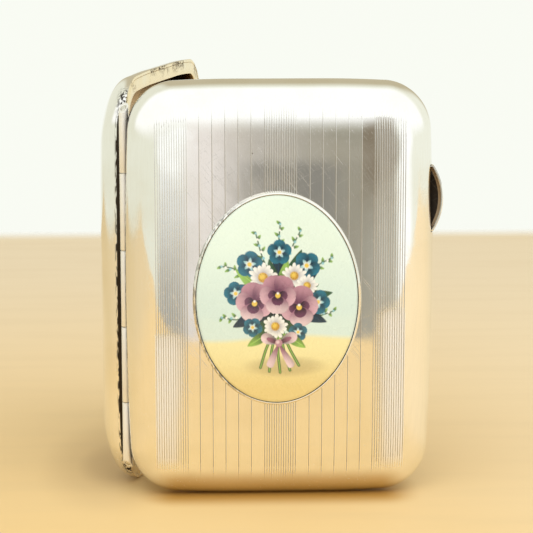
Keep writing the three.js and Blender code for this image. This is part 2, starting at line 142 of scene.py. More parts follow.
def seat(piece, body, slot, *nodes, angle=30):
    """Smooth a finished piece, and say which body carries it and the CAD nodes it stands for. The slot argument, meant
    for its finish, is not used.
    """
    pick_up(piece)
    bpy.ops.object.shade_smooth_by_angle(angle=math.radians(angle))
    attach(piece, body)
    if nodes:
        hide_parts(*nodes)
    print(piece.name, "has", len(piece.data.polygons), "faces and rides on", body)
    return piece


# %% [markdown]
# The camera stands a little above the case and to the hinge side. Its place, direction and lens come from
# fitting the case's outlines to the picture. The colours are shown as they are, with no film curve.

# %% Camera
bpy.ops.object.select_all(action="DESELECT")
bpy.ops.object.camera_add(location=(-0.01801, -0.404, 0.12023))
camera = bpy.context.object
camera.rotation_euler = Vector((0.03783, 0.98275, -0.18104)).to_track_quat("-Z", "Y").to_euler()
camera.data.lens = 140.46
camera.data.sensor_width = 36
bpy.context.scene.camera = camera
bpy.context.scene.view_settings.view_transform = "Standard"
print("camera lens", camera.data.lens, "mm")

# %% [markdown]
# Finishes are built from nodes. A helper adds a node and fills its sockets, and another one makes soft
# patches on the piece's own coordinates, for smudges, scratches and wear. Sizes in it are in millimetres.

# %% Node tools
def new_finish(name):
    """Start a finish. The node tools work on its tree until the next one is started."""
    global tree
    finish = bpy.data.materials.new(name)
    finish.use_nodes = True
    tree = finish.node_tree
    return finish, tree, tree.nodes["Principled BSDF"]


def add(kind, sockets=None, **settings):
    made = tree.nodes.new(kind)
    for key, value in settings.items():
        setattr(made, key, value)
    for key, value in (sockets or {}).items():
        if isinstance(value, bpy.types.NodeSocket):
            tree.links.new(value, made.inputs[key])
        else:
            made.inputs[key].default_value = value
    return made


def patches(size, low, high, detail=3, turn=(0, 0, 0)):
    """Soft patches from 0 to 1. Size is one length, or three along the axes, in millimetres."""
    sizes = size if isinstance(size, tuple) else (size, size, size)
    place = add("ShaderNodeTexCoord").outputs["Object"]
    turned = add("ShaderNodeMapping", {"Vector": place, "Rotation": turn})
    scaled = add("ShaderNodeMapping", {"Vector": turned.outputs["Vector"],
                                       "Scale": tuple(1000 / s for s in sizes)})
    noise = add("ShaderNodeTexNoise", {"Vector": scaled.outputs["Vector"], "Scale": 1, "Detail": detail})
    span = add("ShaderNodeMapRange", {"Value": noise.outputs["Fac"], "From Min": low, "From Max": high},
               interpolation_type="SMOOTHSTEP")
    return span.outputs["Result"]


def math_node(operation, first, second):
    return add("ShaderNodeMath", {0: first, 1: second}, operation=operation).outputs[0]


def times(first, second):
    return math_node("MULTIPLY", first, second)


def plus(first, second):
    return math_node("ADD", first, second)


def less(first, second):
    return math_node("SUBTRACT", first, second)


def most(first, second):
    return math_node("MAXIMUM", first, second)


def mark_on(name):
    """A value that a piece keeps on its points."""
    return add("ShaderNodeAttribute", attribute_name=name).outputs["Fac"]


def tinted(amount, first, second):
    """A colour between two, by an amount from 0 to 1."""
    return add("ShaderNodeMix", {"Factor": amount, 6: first, 7: second}, data_type="RGBA").outputs[2]


def levels(amount, low, high):
    """Spread an amount from 0 to 1 over two values."""
    return add("ShaderNodeMapRange", {"Value": amount, "To Min": low, "To Max": high}).outputs["Result"]


# %% [markdown]
# Old silver is a soft mirror. Handling leaves cloudy smudges, fine scratches, a few pits and a cream tint where it
# tarnishes. Values kept on a piece's points add to it: a dark mark for dirt in a corner and for painted shade in gaps,
# broken up unless it is packed, matted for a dull ground, and cut for the share of a line's own colour. The same
# recipe gives the steel.

# %% Silver and steel
def polished_metal(name, bright, tarnished, gloss, scratch, pit_size=0.0, fade=None):
    finish, tree, metal = new_finish(name)
    metal.inputs["Metallic"].default_value = 1
    cloud = patches(9, 0.38, 0.75)
    fine = patches(0.8, 0.45, 0.8)
    brushed = patches((0.16, 0.16, 14), 0.3, 0.7, 2)
    slant = patches((0.12, 0.12, 9), 0.6, 0.78, 2, (0, math.radians(38), 0))
    cross = patches((0.1, 0.1, 6), 0.66, 0.8, 2, (0, math.radians(-62), 0))
    marks = most(slant, cross)
    colour = tinted(times(cloud, 0.5), bright, tarnished)
    colour = tinted(times(brushed, 0.22), colour, tarnished)
    colour = tinted(times(marks, 0.14), colour, (1, 0.99, 0.96, 1))
    if pit_size:
        place = add("ShaderNodeTexCoord").outputs["Object"]
        cells = add("ShaderNodeTexVoronoi", {"Vector": place, "Scale": 170, "Randomness": 1})
        pits = add("ShaderNodeMapRange", {"Value": cells.outputs["Distance"], "From Min": pit_size,
                                          "From Max": pit_size / 2}).outputs["Result"]
        pits = times(pits, patches(14, 0.5, 0.56, 1))
        colour = tinted(pits, colour, (0.2, 0.15, 0.1, 1))
    if fade:
        cut_share = mark_on("cut")
        colour = tinted(cut_share, fade, colour)
    else:
        matted = mark_on("matted")
        colour = tinted(matted, colour, (1, 1, 1, 1))
    # The dark mark paints dirt and also shade in gaps beside the hinge.
    grime_and_shade = mark_on("grime_and_shade")
    packed = add("ShaderNodeMapRange", {"Value": grime_and_shade, "From Min": 0.7, "From Max": 0.95}).outputs["Result"]
    broken = patches((0.4, 0.4, 1.6), 0.42, 0.6)
    grime_and_shade = times(grime_and_shade, most(broken, packed))
    grime_and_shade = math_node("MINIMUM", times(grime_and_shade, 1.8), 1)
    colour = tinted(grime_and_shade, colour, (0.035, 0.027, 0.02, 1))
    tree.links.new(colour, metal.inputs["Base Color"])
    rough = plus(levels(cloud, *gloss), times(marks, scratch))
    rough = plus(rough, times(fine, 0.03))
    rough = plus(rough, times(grime_and_shade, 0.3))
    if fade:
        rough = times(rough, levels(cut_share, 0.15, 1))
    else:
        rough = plus(rough, times(matted, 0.65))
    tree.links.new(rough, metal.inputs["Roughness"])
    waves = patches(5, 0.2, 0.8, 1)
    uneven = add("ShaderNodeBump", {"Strength": 1, "Distance": 0.006 * MM, "Height": waves})
    bump = add("ShaderNodeBump", {"Strength": 0.09, "Distance": 0.02 * MM, "Height": times(marks, -1),
                                  "Normal": uneven.outputs["Normal"]})
    tree.links.new(bump.outputs["Normal"], metal.inputs["Normal"])
    return finish


silver = polished_metal("polished_silver", (0.95, 0.94, 0.9, 1), (0.86, 0.83, 0.74, 1), (0.045, 0.1), 0.22, 0.03)
dulled_silver = polished_metal("dulled_silver", (0.86, 0.84, 0.78, 1), (0.6, 0.55, 0.46, 1), (0.2, 0.34), 0.12, 0.06)
steel = polished_metal("spring_steel", (0.56, 0.57, 0.59, 1), (0.36, 0.34, 0.32, 1), (0.22, 0.36), 0.1)
print("metals:", silver.name, dulled_silver.name, steel.name)

# %% [markdown]
# The cut lines on the covers have a dark wall, coloured as painted shade with the polish and dirt that stay there,
# and a bright one that the graver left rough. Two finishes on the two walls show each line from any side, even where
# both reflect alike.

# %% Finishes of the cut lines
SILVER = (0.93, 0.92, 0.87, 1)
cut_shadow = polished_metal("cut_line_shadow", (0.38, 0.35, 0.3, 1), (0.26, 0.23, 0.18, 1), (0.35, 0.5), 0.05,
                            fade=SILVER)
cut_shine = polished_metal("cut_line_shine", (0.98, 0.98, 0.97, 1), (0.94, 0.93, 0.9, 1), (0.45, 0.55), 0.05,
                           fade=SILVER)
print("cut lines:", cut_shadow.name, cut_shine.name)

# %% [markdown]
# The frames inside the rims and the inside of the covers are washed with gold. The gold is pale and thin, so
# it wears through to silver in patches and holds dark specks. On a piece's points, rubbed is 1 along a worn edge
# and a second mark is 1 where a wall is painted dark, as shade inside the case near its rim.

# %% Gilding
def gilding(name, rich, thin, gloss):
    finish, tree, metal = new_finish(name)
    metal.inputs["Metallic"].default_value = 1
    cloud = patches(7, 0.35, 0.72)
    colour = tinted(cloud, rich, thin)
    rubbed = mark_on("rubbed")
    specks = times(patches(0.45, 0.44, 0.56), patches(5, 0.5, 0.6, 1))
    dirt = times(rubbed, specks)
    stray = times(patches(0.3, 0.7, 0.76), 0.5)
    colour = tinted(most(dirt, stray), colour, (0.12, 0.09, 0.06, 1))
    # Painted shade: the wall near the rim is darkened here, as the inside of the case lies in shade.
    grime_and_shade = mark_on("grime_and_shade")
    colour = tinted(times(grime_and_shade, 0.92), colour, (0.03, 0.017, 0.008, 1))
    tree.links.new(colour, metal.inputs["Base Color"])
    rough = plus(levels(cloud, *gloss), times(dirt, 0.3))
    tree.links.new(rough, metal.inputs["Roughness"])
    bump = add("ShaderNodeBump", {"Strength": 0.15, "Distance": 0.03 * MM, "Height": patches(0.6, 0.3, 0.7)})
    tree.links.new(bump.outputs["Normal"], metal.inputs["Normal"])
    return finish


frame_gilding = gilding("frame_gilding", (0.93, 0.78, 0.5, 1), (0.94, 0.86, 0.66, 1), (0.26, 0.36))
lining_gilding = gilding("lining_gilding", (0.52, 0.35, 0.16, 1), (0.62, 0.44, 0.23, 1), (0.22, 0.36))
print("gilding:", frame_gilding.name, lining_gilding.name)

# %% [markdown]
# A dark finish in narrow gaps stands for old dirt and for the shade that falls there. The black and brown finishes for
# the thumb-piece's dish are painted dark reflection.
# The strap and its thread are woven, so they take light softly, and their colour changes a little from cord to cord.

# %% Dirt and painted shade, painted dark reflection and elastic
dirt_and_shade_in_gaps = polished_metal("dirt_and_shade_in_gaps", (0.1, 0.08, 0.06, 1), (0.04, 0.03, 0.025, 1), (0.5, 0.7), 0.05)
# Painted dark reflection for the thumb-piece's dish: black in the middle, brown on the slope.
dish_dark_reflection = polished_metal("thumb_dish_dark_reflection", (0.035, 0.028, 0.022, 1), (0.012, 0.01, 0.008, 1), (0.5, 0.62), 0.05)
dish_slope_reflection = polished_metal("dish_slope_reflection", (0.34, 0.25, 0.16, 1), (0.12, 0.085, 0.055, 1), (0.4, 0.55), 0.05)


def cloth(name, light, dark):
    finish, tree, surface = new_finish(name)
    weave = patches((0.5, 0.5, 0.36), 0.35, 0.65, 2)
    worn = patches(6, 0.4, 0.7)
    colour = tinted(most(times(weave, 0.6), worn), light, dark)
    tree.links.new(colour, surface.inputs["Base Color"])
    tree.links.new(levels(weave, 0.8, 0.95), surface.inputs["Roughness"])
    surface.inputs["Sheen Weight"].default_value = 0.3
    bump = add("ShaderNodeBump", {"Strength": 0.3, "Distance": 0.05 * MM, "Height": weave})
    tree.links.new(bump.outputs["Normal"], surface.inputs["Normal"])
    return finish


elastic = cloth("woven_elastic", (0.66, 0.52, 0.33, 1), (0.5, 0.37, 0.21, 1))
thread = cloth("sewing_thread", (0.72, 0.62, 0.45, 1), (0.58, 0.47, 0.32, 1))
print("finishes:", dirt_and_shade_in_gaps.name, dish_dark_reflection.name, elastic.name, thread.name)

# %% [markdown]
# Seen square on, a half is a rounded rectangle. Its long sides bow out a little, and each end is flat in the
# middle, so that the case stands on it. The points run round the outline, closer together in the corners.

# %% Outline of the case
CASE_HEIGHT = 83 * MM
CASE_WIDTH = 60.8 * MM
HALF_DEPTH = 7.6 * MM
CORNER_RADIUS = 8.9 * MM
SIDE_BOW = 1.05 * MM
END_BOW = 1 * MM
FOOT_FLAT = 18 * MM
RIM_DEPTH = 0.15 * MM
RIM_STRAIGHT = 0.8 * MM
CROWN_POWER = 7
WALL = 0.6 * MM
MIDDLE = Vector((0, 0.475 * MM, CASE_HEIGHT / 2))


def outline(inset, sides=22, corner=26, ends=18):
    """Points round the outline, drawn in by an inset, as x and height from the middle."""
    half_width, half_height = CASE_WIDTH / 2 - inset, CASE_HEIGHT / 2 - inset
    radius = CORNER_RADIUS - inset
    turn = np.linspace(0, math.pi / 2, corner)
    x = np.concatenate([np.full(sides, half_width), half_width - radius + radius * np.cos(turn),
                        np.linspace(half_width - radius, 0, ends + 1)[1:]])
    h = np.concatenate([np.linspace(0, half_height - radius, sides + 1)[:-1],
                        half_height - radius + radius * np.sin(turn), np.full(ends, half_height)])
    along = h / half_height
    across = np.maximum(0, x - FOOT_FLAT / 2) / (half_width - FOOT_FLAT / 2)
    quarter = np.stack([x - x / half_width * SIDE_BOW * along ** 2, h - along * END_BOW * across ** 2], 1)
    upper = np.concatenate([quarter, (quarter * (-1, 1))[-2::-1]])
    return np.concatenate([upper, (upper * (1, -1))[-2:0:-1]])


print("outline has", len(outline(0)), "points")

# %% [markdown]
# A half is pressed from sheet: a straight rim, a tight round and a nearly flat face. The outline is extruded
# ring by ring down that profile, each ring smaller than the last, which keeps the mirror smooth all round.

# %% Pressed skins
def crown(angle, full_depth):
    """Depth below the parting plane and share of the outline, at an angle along the profile."""
    rise = full_depth - RIM_STRAIGHT
    return RIM_STRAIGHT + rise * math.sin(angle), math.cos(angle) ** (2 / CROWN_POWER)


def draw_in(skin, inset):
    """Move the selected ring from the outline to the one that is drawn in by an inset."""
    wide, narrow = outline(0), outline(inset)
    cage = bmesh.from_edit_mesh(skin.data)
    for vertex in cage.verts:
        if vertex.select:
            k = np.hypot(*(wide - (vertex.co.x, vertex.co.z)).T).argmin()
            vertex.co.x, vertex.co.z = narrow[k]
    bmesh.update_edit_mesh(skin.data)


def pressed_skin(name, inset, full_depth, last_angle, steps, finishes):
    points = outline(0)
    put_down()
    bpy.ops.mesh.primitive_circle_add(vertices=len(points), radius=CASE_WIDTH / 2)
    skin = bpy.context.object
    skin.name = name
    for vertex, (x, h) in zip(skin.data.vertices, points):
        vertex.co = (x, -RIM_DEPTH, h)
    for finish in finishes:
        skin.data.materials.append(finish)
    edit(skin, "EDGE")
    if inset:
        bpy.ops.mesh.extrude_edges_move()
        draw_in(skin, inset)
    depth, share = RIM_DEPTH, 1
    for step in range(steps + 1):
        next_depth, next_share = crown(math.radians(last_angle) * step / steps, full_depth)
        bpy.ops.mesh.extrude_edges_move(TRANSFORM_OT_translate={"value": (0, depth - next_depth, 0)})
        grow = next_share / share
        bpy.ops.transform.resize(value=(grow, 1, grow), center_override=(0, 0, 0))
        depth, share = next_depth, next_share
    bpy.ops.mesh.edge_face_add()
    put_down()
    return skin


FACE_ANGLE = 32
outer_skin = pressed_skin("cover_blank", 0, HALF_DEPTH, FACE_ANGLE, 18, [silver, cut_shadow, cut_shine])
inner_skin = pressed_skin("cover_lining", WALL, HALF_DEPTH - WALL, 87, 26, [lining_gilding])
print("face starts at", round(crown(math.radians(FACE_ANGLE), HALF_DEPTH)[1], 3), "of the outline")

# %% [markdown]
# The face carries upright lines cut by a machine: three close bands and single lines between them. Here the
# flat cap of the outer skin is sliced by planes, first beside and along each line, then across for the bend.

# %% Slice the face for the cut lines
LINE_HALF = 0.08 * MM
PITCH = 0.467 * MM
LINED_HALF = 26 * MM
lines = [middle * MM + (k - 6.5) * PITCH for middle in (-21.2, 0, 21.25) for k in range(14)]
lines += [side * (5.67 + 2.515 * k) * MM for side in (-1, 1) for k in range(5)]
lines = sorted(lines)
columns = [x + shift for x in lines for shift in (-LINE_HALF, 0, LINE_HALF)]
for side in (-1, 1):
    columns += [side * x * MM for x in (17.9, 24.6, 25.4, 25.9, 26.4, 26.8, 27.2, 27.55, 27.9, 28.2, 28.45, 28.7)]
rows, step = [39.4 * MM], 0.3 * MM
while rows[-1] > 0.8 * MM:
    rows.append(rows[-1] - step)
    step = min(step * 1.12, 1.6 * MM)
rows = rows + [-h for h in rows]
cap_depth, cap_share = crown(math.radians(FACE_ANGLE), HALF_DEPTH)
edit(outer_skin, "FACE")
choose(outer_skin, "FACE", lambda f: abs(f.calc_center_median().y + cap_depth) > 0.001 * MM)
bpy.ops.mesh.hide()
for places, normal in ((columns, (1, 0, 0)), (rows, (0, 0, 1))):
    for place in places:
        bpy.ops.mesh.select_all(action="SELECT")
        bpy.ops.mesh.bisect(plane_co=Vector(normal) * place, plane_no=normal, threshold=SLICE)
bpy.ops.mesh.reveal()
put_down()
print(len(lines), "lines,", len(outer_skin.data.polygons), "faces")

# %% [markdown]
# Now the sliced cap is pressed to the crown's exact curve, and the middle of each line is pushed in. The
# lines fade out where the face bends away from the cutter, each one at its own height, as on the real case.

# %% Press the face and push the lines in
LINE_DEPTH = 0.06 * MM
seed = np.random.default_rng(7)
line_x = np.array(lines)
line_top = (37 - 0.0036 * (line_x / MM) ** 2 + seed.uniform(-0.5, 0.5, len(lines))) * MM
line_bottom = (-38.4 + 0.0032 * (line_x / MM) ** 2 + seed.uniform(-0.4, 0.4, len(lines))) * MM
rim_points = outline(0, 400, 400, 400)
rim_turn = np.arctan2(rim_points[:, 1], rim_points[:, 0])
rim_order = np.argsort(rim_turn)


def crown_depth(x, h):
    """Depth of the pressed face below the parting plane."""
    reach = np.interp(np.arctan2(h, x), rim_turn[rim_order], np.hypot(*rim_points[rim_order].T),
                      period=2 * math.pi)
    share = np.minimum(np.hypot(x, h) / reach, 1)
    return RIM_STRAIGHT + (HALF_DEPTH - RIM_STRAIGHT) * np.sqrt(1 - share ** CROWN_POWER)


def line_strength(nearest, h):
    """How deep a line is cut at a height, from 0 past its ends to 1."""
    ends = np.minimum(line_top[nearest] - h, h - line_bottom[nearest])
    return ease(ends, 0, 4 * MM)


spots = points_of(outer_skin)
capped = np.abs(spots[:, 1] + cap_depth) < 0.0005 * MM
x, h = spots[capped, 0], spots[capped, 2]
nearest = np.abs(x[:, None] - line_x).argmin(1)
pushed = (np.abs(x - line_x[nearest]) < 0.005 * MM) * line_strength(nearest, h) * LINE_DEPTH
spots[capped, 1] = pushed - crown_depth(x, h)
put_points(outer_skin, spots)
walls = 0
for face in outer_skin.data.polygons:
    middle = face.center
    if middle.y < -cap_depth and abs(middle.x) < LINED_HALF:
        k = int(np.abs(middle.x - line_x).argmin())
        if abs(middle.x - line_x[k]) < LINE_HALF and line_strength(k, middle.z) > 0.02:
            face.material_index = 1 if middle.x < line_x[k] else 2
            walls += 1
print(walls, "faces in the cut lines")

# %% [markdown]
# The two skins start from the same ring, so joining them and merging that ring closes the wall into one body that
# cutters can work on. The rim's edges are rounded. A round groove along one side then makes room for the hinge, and
# the points that this cut leaves double are merged. Marks on the points say where dirt, wear and dull ground lie, and
# where shade is painted in: along the hinge groove and on the inner wall near the rim.
# The borders of the lines are marked sharp, which keeps the mirror beside them flat.

# %% Wall, rim and hinge groove
HINGE_X = 0.1 * MM - CASE_WIDTH / 2
HINGE_LENGTH = 73.6 * MM
GROOVE_RADIUS = 1.1 * MM


def hinge_groove():
    put_down()
    bpy.ops.mesh.primitive_cylinder_add(vertices=64, radius=GROOVE_RADIUS, depth=HINGE_LENGTH + 0.3 * MM,
                                        location=(HINGE_X, 0, 0))
    groove = bpy.context.object
    # The groove's faces take the dark gap finish: dirt, and painted shade behind the knuckles.
    groove.data.materials.append(dirt_and_shade_in_gaps)
    settle(groove)
    return groove


pick_up(outer_skin, inner_skin)
bpy.ops.object.join()
blank = outer_skin
edit(blank, "EDGE")
bpy.ops.mesh.remove_doubles(threshold=MERGE)
bpy.ops.mesh.normals_make_consistent(inside=False)
choose(blank, "EDGE", lambda e: len(e.link_faces) == 2 and e.calc_face_angle() > SQUARE)
bpy.ops.mesh.bevel(offset=0.1 * MM, segments=3, affect="EDGES")
put_down()
cut(blank, hinge_groove())
edit(blank)
bpy.ops.mesh.remove_doubles(threshold=MERGE)
put_down()
x, y, h = points_of(blank).T
# Painted shade: the outer skin is darkened along the hinge groove, where the knuckles shade it. The darkening at the
# hinge end's corners stands for dirt.
by_hinge = (1 - ease(np.hypot(x - HINGE_X, y), 1.5 * MM, 2.3 * MM)) * (np.abs(h) < HINGE_LENGTH / 2 + MM)
by_corner = 1 - ease(np.hypot(x - HINGE_X - 1.2 * MM, np.abs(h) - 38 * MM), 1.6 * MM, 4.4 * MM)
by_corner *= 1 - ease(-y, 0.9 * MM, 2.6 * MM)
lined = np.zeros(len(x))
for face in blank.data.polygons:
    if blank.data.materials[face.material_index] == lining_gilding:
        lined[list(face.vertices)] = 1
# Painted shade: the lining is darkened on the inner wall near the rim, where the inside of the case lies in shade.
inner_wall = lined * ease(y, -6.2 * MM, -4.5 * MM) * ease(y, -0.7 * MM, -0.95 * MM)
mark(blank, "grime_and_shade", np.maximum(np.maximum(by_hinge, 0.68 * by_corner) * (1 - lined), inner_wall))
mark(blank, "rubbed", 1.0 * (y > -RIM_DEPTH - 0.3 * MM))
faced = (y < -cap_depth) & (np.abs(x) < LINED_HALF)
nearest = np.abs(x[:, None] - line_x).argmin(1)
faint = 0.5 * ease(h, -5 * MM, 15 * MM) + 0.2 * ease(-h, 9 * MM, 13 * MM)
worn_lines = 1 - ease(-x, 15 * MM, 19 * MM) * faint
in_line = np.abs(x - line_x[nearest]) < 1.1 * LINE_HALF
mark(blank, "cut", faced * in_line * line_strength(nearest, h) * worn_lines)
in_bands = ease(np.abs(x), 18 * MM, 21.5 * MM) * (np.abs(x) < 24.5 * MM)
below_plaque = ease(h - 5 * MM * (x > 0), -7 * MM, -10 * MM) * ease(h, -37 * MM, -33 * MM)
mark(blank, "matted", 0.9 * faced * in_bands * below_plaque)
borders = {round((x + side * LINE_HALF) / MM * 1000) + off
           for x in lines for side in (-1, 1) for off in (-1, 0, 1)}


def line_border(edge):
    """True for an edge along a cut line's border, on the face."""
    first, second = (vertex.co for vertex in edge.verts)
    return (first.y < -cap_depth and second.y < -cap_depth and abs(first.x - second.x) < 0.001 * MM
            and round(first.x / MM * 1000) in borders)


edit(blank, "EDGE")
choose(blank, "EDGE", line_border)
bpy.ops.mesh.mark_sharp()
put_down()
rim_slot = len(blank.data.materials)
blank.data.materials.append(frame_gilding)
for face in blank.data.polygons:
    if face.center.y > -RIM_DEPTH - 0.05 * MM and blank.data.materials[face.material_index] != dirt_and_shade_in_gaps:
        face.material_index = rim_slot
print("blank has", len(blank.data.polygons), "faces")

# %% [markdown]
# Both covers come from the same blank. The rear one is a mirrored copy, swung open on the hinge by 75 degrees.
# The front one is slotted in its free side, where the thumb-piece comes through, and is painted darker beside the
# hinge, as the shade in the gap between knuckle and cover.

# %% Front and rear cover
OPEN_ANGLE = math.radians(75)
THUMB_MIDDLE = 18.1 * MM
THUMB_LENGTH = 12.9 * MM
hinge_line = Matrix.Translation(MIDDLE + Vector((HINGE_X, 0, 0)))
swing = hinge_line @ Matrix.Rotation(OPEN_ANGLE, 4, "Z") @ hinge_line.inverted()


def to_rear(piece):
    """Turn a piece that was drawn for the front half into its twin in the open rear half."""
    piece.scale = (1, -1, 1)
    settle(piece)
    face_out(piece)
    piece_in_place(piece)
    piece.matrix_world = swing
    settle(piece)


def piece_in_place(piece):
    put_down()
    piece.location = MIDDLE
    settle(piece)


pick_up(blank)
bpy.ops.object.duplicate()
rear_cover = bpy.context.object
rear_cover.name = "rear_cover_silver"
rear_cover.data.attributes.remove(rear_cover.data.attributes["matted"])
to_rear(rear_cover)

blank.name = "front_cover_silver"
x, y, h = points_of(blank).T
# Painted shade: a dark wedge on the cover beside the hinge, where the gap by the knuckles lies in shade.
wider = 0.7 * MM * ease(np.abs(h), 22 * MM, 36 * MM)
wedge = 1 - ease(np.hypot(x - HINGE_X, y) - wider, 1.55 * MM, 2.05 * MM)
wedge *= (np.abs(h) < HINGE_LENGTH / 2) * (lined < 0.5)
grime_and_shade = blank.data.attributes["grime_and_shade"].data
held = np.empty(len(x))
grime_and_shade.foreach_get("value", held)
grime_and_shade.foreach_set("value", np.maximum(held, wedge))
bpy.ops.object.select_all(action="DESELECT")
bpy.ops.mesh.primitive_cube_add(size=1, location=(31 * MM, -2 * MM, THUMB_MIDDLE))
slot_cutter = bpy.context.object
slot_cutter.scale = (5.2 * MM, 2.5 * MM, THUMB_LENGTH + 0.5 * MM)
settle(slot_cutter)
cut(blank, slot_cutter)
piece_in_place(blank)
front_cover = seat(blank, "front_half", "silver", "front_cover", angle=20)
seat(rear_cover, "rear_half", "silver", "rear_cover", angle=20)

# %% [markdown]
# A thin flat frame is soldered inside each rim. It is drawn as two outlines, one inside the other, bridged and
# given a thickness. Its outer edge carries the attribute rubbed, where the gold is worn and dirt collects.

# %% Rim frames
FRAME_INSETS = (0.62 * MM, 3 * MM)
FRAME_BACK = 0.95 * MM
NOTCH_EDGE = 28.06 * MM


def rim_frame(name):
    """A frame with rounded edges, a groove for the hinge and a notch that the hook passes."""
    wide, narrow = (outline(inset) for inset in FRAME_INSETS)
    put_down()
    bpy.ops.mesh.primitive_circle_add(vertices=len(wide), radius=CASE_WIDTH / 2)
    band = bpy.context.object
    band.name = name
    band.data.materials.append(frame_gilding)
    for vertex, (x, h) in zip(band.data.vertices, wide):
        vertex.co = (x, -RIM_DEPTH, h)
    edit(band, "EDGE")
    bpy.ops.mesh.extrude_edges_move()
    cage = bmesh.from_edit_mesh(band.data)
    for vertex in cage.verts:
        if vertex.select:
            k = np.hypot(*(wide - (vertex.co.x, vertex.co.z)).T).argmin()
            vertex.co.x, vertex.co.z = narrow[k]
    bmesh.update_edit_mesh(band.data)
    bpy.ops.mesh.select_all(action="SELECT")
    bpy.ops.mesh.extrude_region_move(TRANSFORM_OT_translate={"value": (0, RIM_DEPTH - FRAME_BACK, 0)})
    bpy.ops.mesh.select_all(action="SELECT")
    bpy.ops.mesh.normals_make_consistent(inside=False)
    choose(band, "EDGE", lambda e: len(e.link_faces) == 2 and e.calc_face_angle() > SQUARE)
    bpy.ops.mesh.bevel(offset=0.07 * MM, segments=2, affect="EDGES")
    put_down()
    cut(band, hinge_groove())
    put_down()
    bpy.ops.mesh.primitive_cube_add(size=1, location=(NOTCH_EDGE - 1.5 * MM, -0.5 * MM, THUMB_MIDDLE))
    notch = bpy.context.object
    notch.scale = (3 * MM, 2 * MM, 3.9 * MM)
    settle(notch)
    cut(band, notch)
    spots = points_of(band)[:, None, ::2]
    mark(band, "rubbed", 1 - ease(np.hypot(*(spots - wide).T).min(0), 0, 0.25 * MM))
    return band


front_frame = rim_frame("front_frame_gilt")
piece_in_place(front_frame)
seat(front_frame, "front_half", "gilt", "front_rim_frame")
rear_frame = rim_frame("rear_frame_gilt")
to_rear(rear_frame)
seat(rear_frame, "rear_half", "gilt", "rear_rim_frame")

# %% [markdown]
# The hinge is five short tubes on one pin. Three belong to the front half and two to the rear. Each tube is a
# disc with a hole, drawn out along the hinge. Its two ends were filed aslant by hand, which a slanting cut does.

# %% Hinge
KNUCKLE_RADIUS = 0.95 * MM
BORE_RADIUS = 0.55 * MM
PIN_RADIUS = 0.45 * MM
SPLITS = [h * MM for h in (-36.8, -23.05, -7.683, 7.683, 23.05, 36.8)]
FILED_ANGLE, FILED_TURN = math.radians(44), math.radians(30)


def filed(rod):
    """Cut both ends of the hinge aslant and close them."""
    middle = HINGE_LENGTH / 2 - KNUCKLE_RADIUS * math.tan(FILED_ANGLE)
    for end in (1, -1):
        slant = Vector((-math.sin(FILED_ANGLE) * math.sin(FILED_TURN),
                        -math.sin(FILED_ANGLE) * math.cos(FILED_TURN), end * math.cos(FILED_ANGLE)))
        edit(rod)
        bpy.ops.mesh.bisect(plane_co=(HINGE_X, 0, end * middle), plane_no=slant, clear_outer=True, threshold=SLICE)
        bpy.ops.mesh.select_all(action="DESELECT")
        bpy.ops.mesh.select_mode(type="EDGE")
        bpy.ops.mesh.select_non_manifold()
        if rod.data.total_edge_sel:
            bpy.ops.mesh.fill()
    put_down()


def tube(name, low, high, radius, bore=0.0):
    put_down()
    bpy.ops.mesh.primitive_cylinder_add(vertices=64, radius=radius, depth=high - low,
                                        location=(HINGE_X, 0, (low + high) / 2))
    rod = bpy.context.object
    rod.name = name
    settle(rod)
    if bore:
        bpy.ops.mesh.primitive_cylinder_add(vertices=48, radius=bore, depth=2 * HINGE_LENGTH,
                                            location=(HINGE_X, 0, 0))
        drill = bpy.context.object
        settle(drill)
        cut(rod, drill)
    filed(rod)
    edit(rod)
    bpy.ops.mesh.normals_make_consistent(inside=False)
    choose(rod, "EDGE", lambda e: len(e.link_faces) == 2 and e.calc_face_angle() > 0.6)
    bpy.ops.mesh.bevel(offset=0.06 * MM, segments=2, affect="EDGES")
    put_down()
    rod.data.materials.append(hinge_silver)
    return rod


hinge_silver = polished_metal("hinge_silver", (0.98, 0.97, 0.93, 1), (0.88, 0.84, 0.75, 1), (0.56, 0.66), 0.12)
owners = (("front_half", "front_knuckle_bottom"), ("rear_half", "rear_knuckle_lower"),
          ("front_half", "front_knuckle_middle"), ("rear_half", "rear_knuckle_upper"),
          ("front_half", "front_knuckle_top"))
KNUCKLE_GAP = 0.075 * MM
for (body, node), low, high in zip(owners, SPLITS, SPLITS[1:]):
    knuckle = tube(node + "_tube", low + KNUCKLE_GAP, high - KNUCKLE_GAP, KNUCKLE_RADIUS, BORE_RADIUS)
    if body == "rear_half":
        to_rear(knuckle)
    else:
        piece_in_place(knuckle)
    seat(knuckle, body, "silver", node)
pin = tube("hinge_pin_wire", SPLITS[0], SPLITS[-1], PIN_RADIUS)
pin.data.materials[0] = dulled_silver
piece_in_place(pin)
seat(pin, "front_half", "worn_silver", "hinge_pin")

# %% [markdown]
# The plaque sits in a bezel, a strip of silver bent to an oval and rubbed over the enamel's edge. An oval ring is
# extruded up, over a long outer slope to a narrow top, and down a steep wall to a ledge under the enamel. That wall
# and the ledge are coloured dark, for old dirt and for the painted shade of the narrow gap under the enamel's edge.

# %% Plaque bezel
PLAQUE = Vector((-0.7 * MM, 0, -0.75 * MM))
BEZEL_HALF = (16.4 * MM, 21.15 * MM)
BEZEL_PROFILE = [(0, 7.3), (0, 8.2), (0.03, 8.34), (0.1, 8.48), (0.2, 8.6), (0.31, 8.69), (0.41, 8.74), (0.47, 8.75),
                 (0.52, 8.71), (0.55, 8.62), (0.56, 8.4), (0.56, 8.22), (0.8, 8.22), (0.8, 7.3), (0, 7.3)]


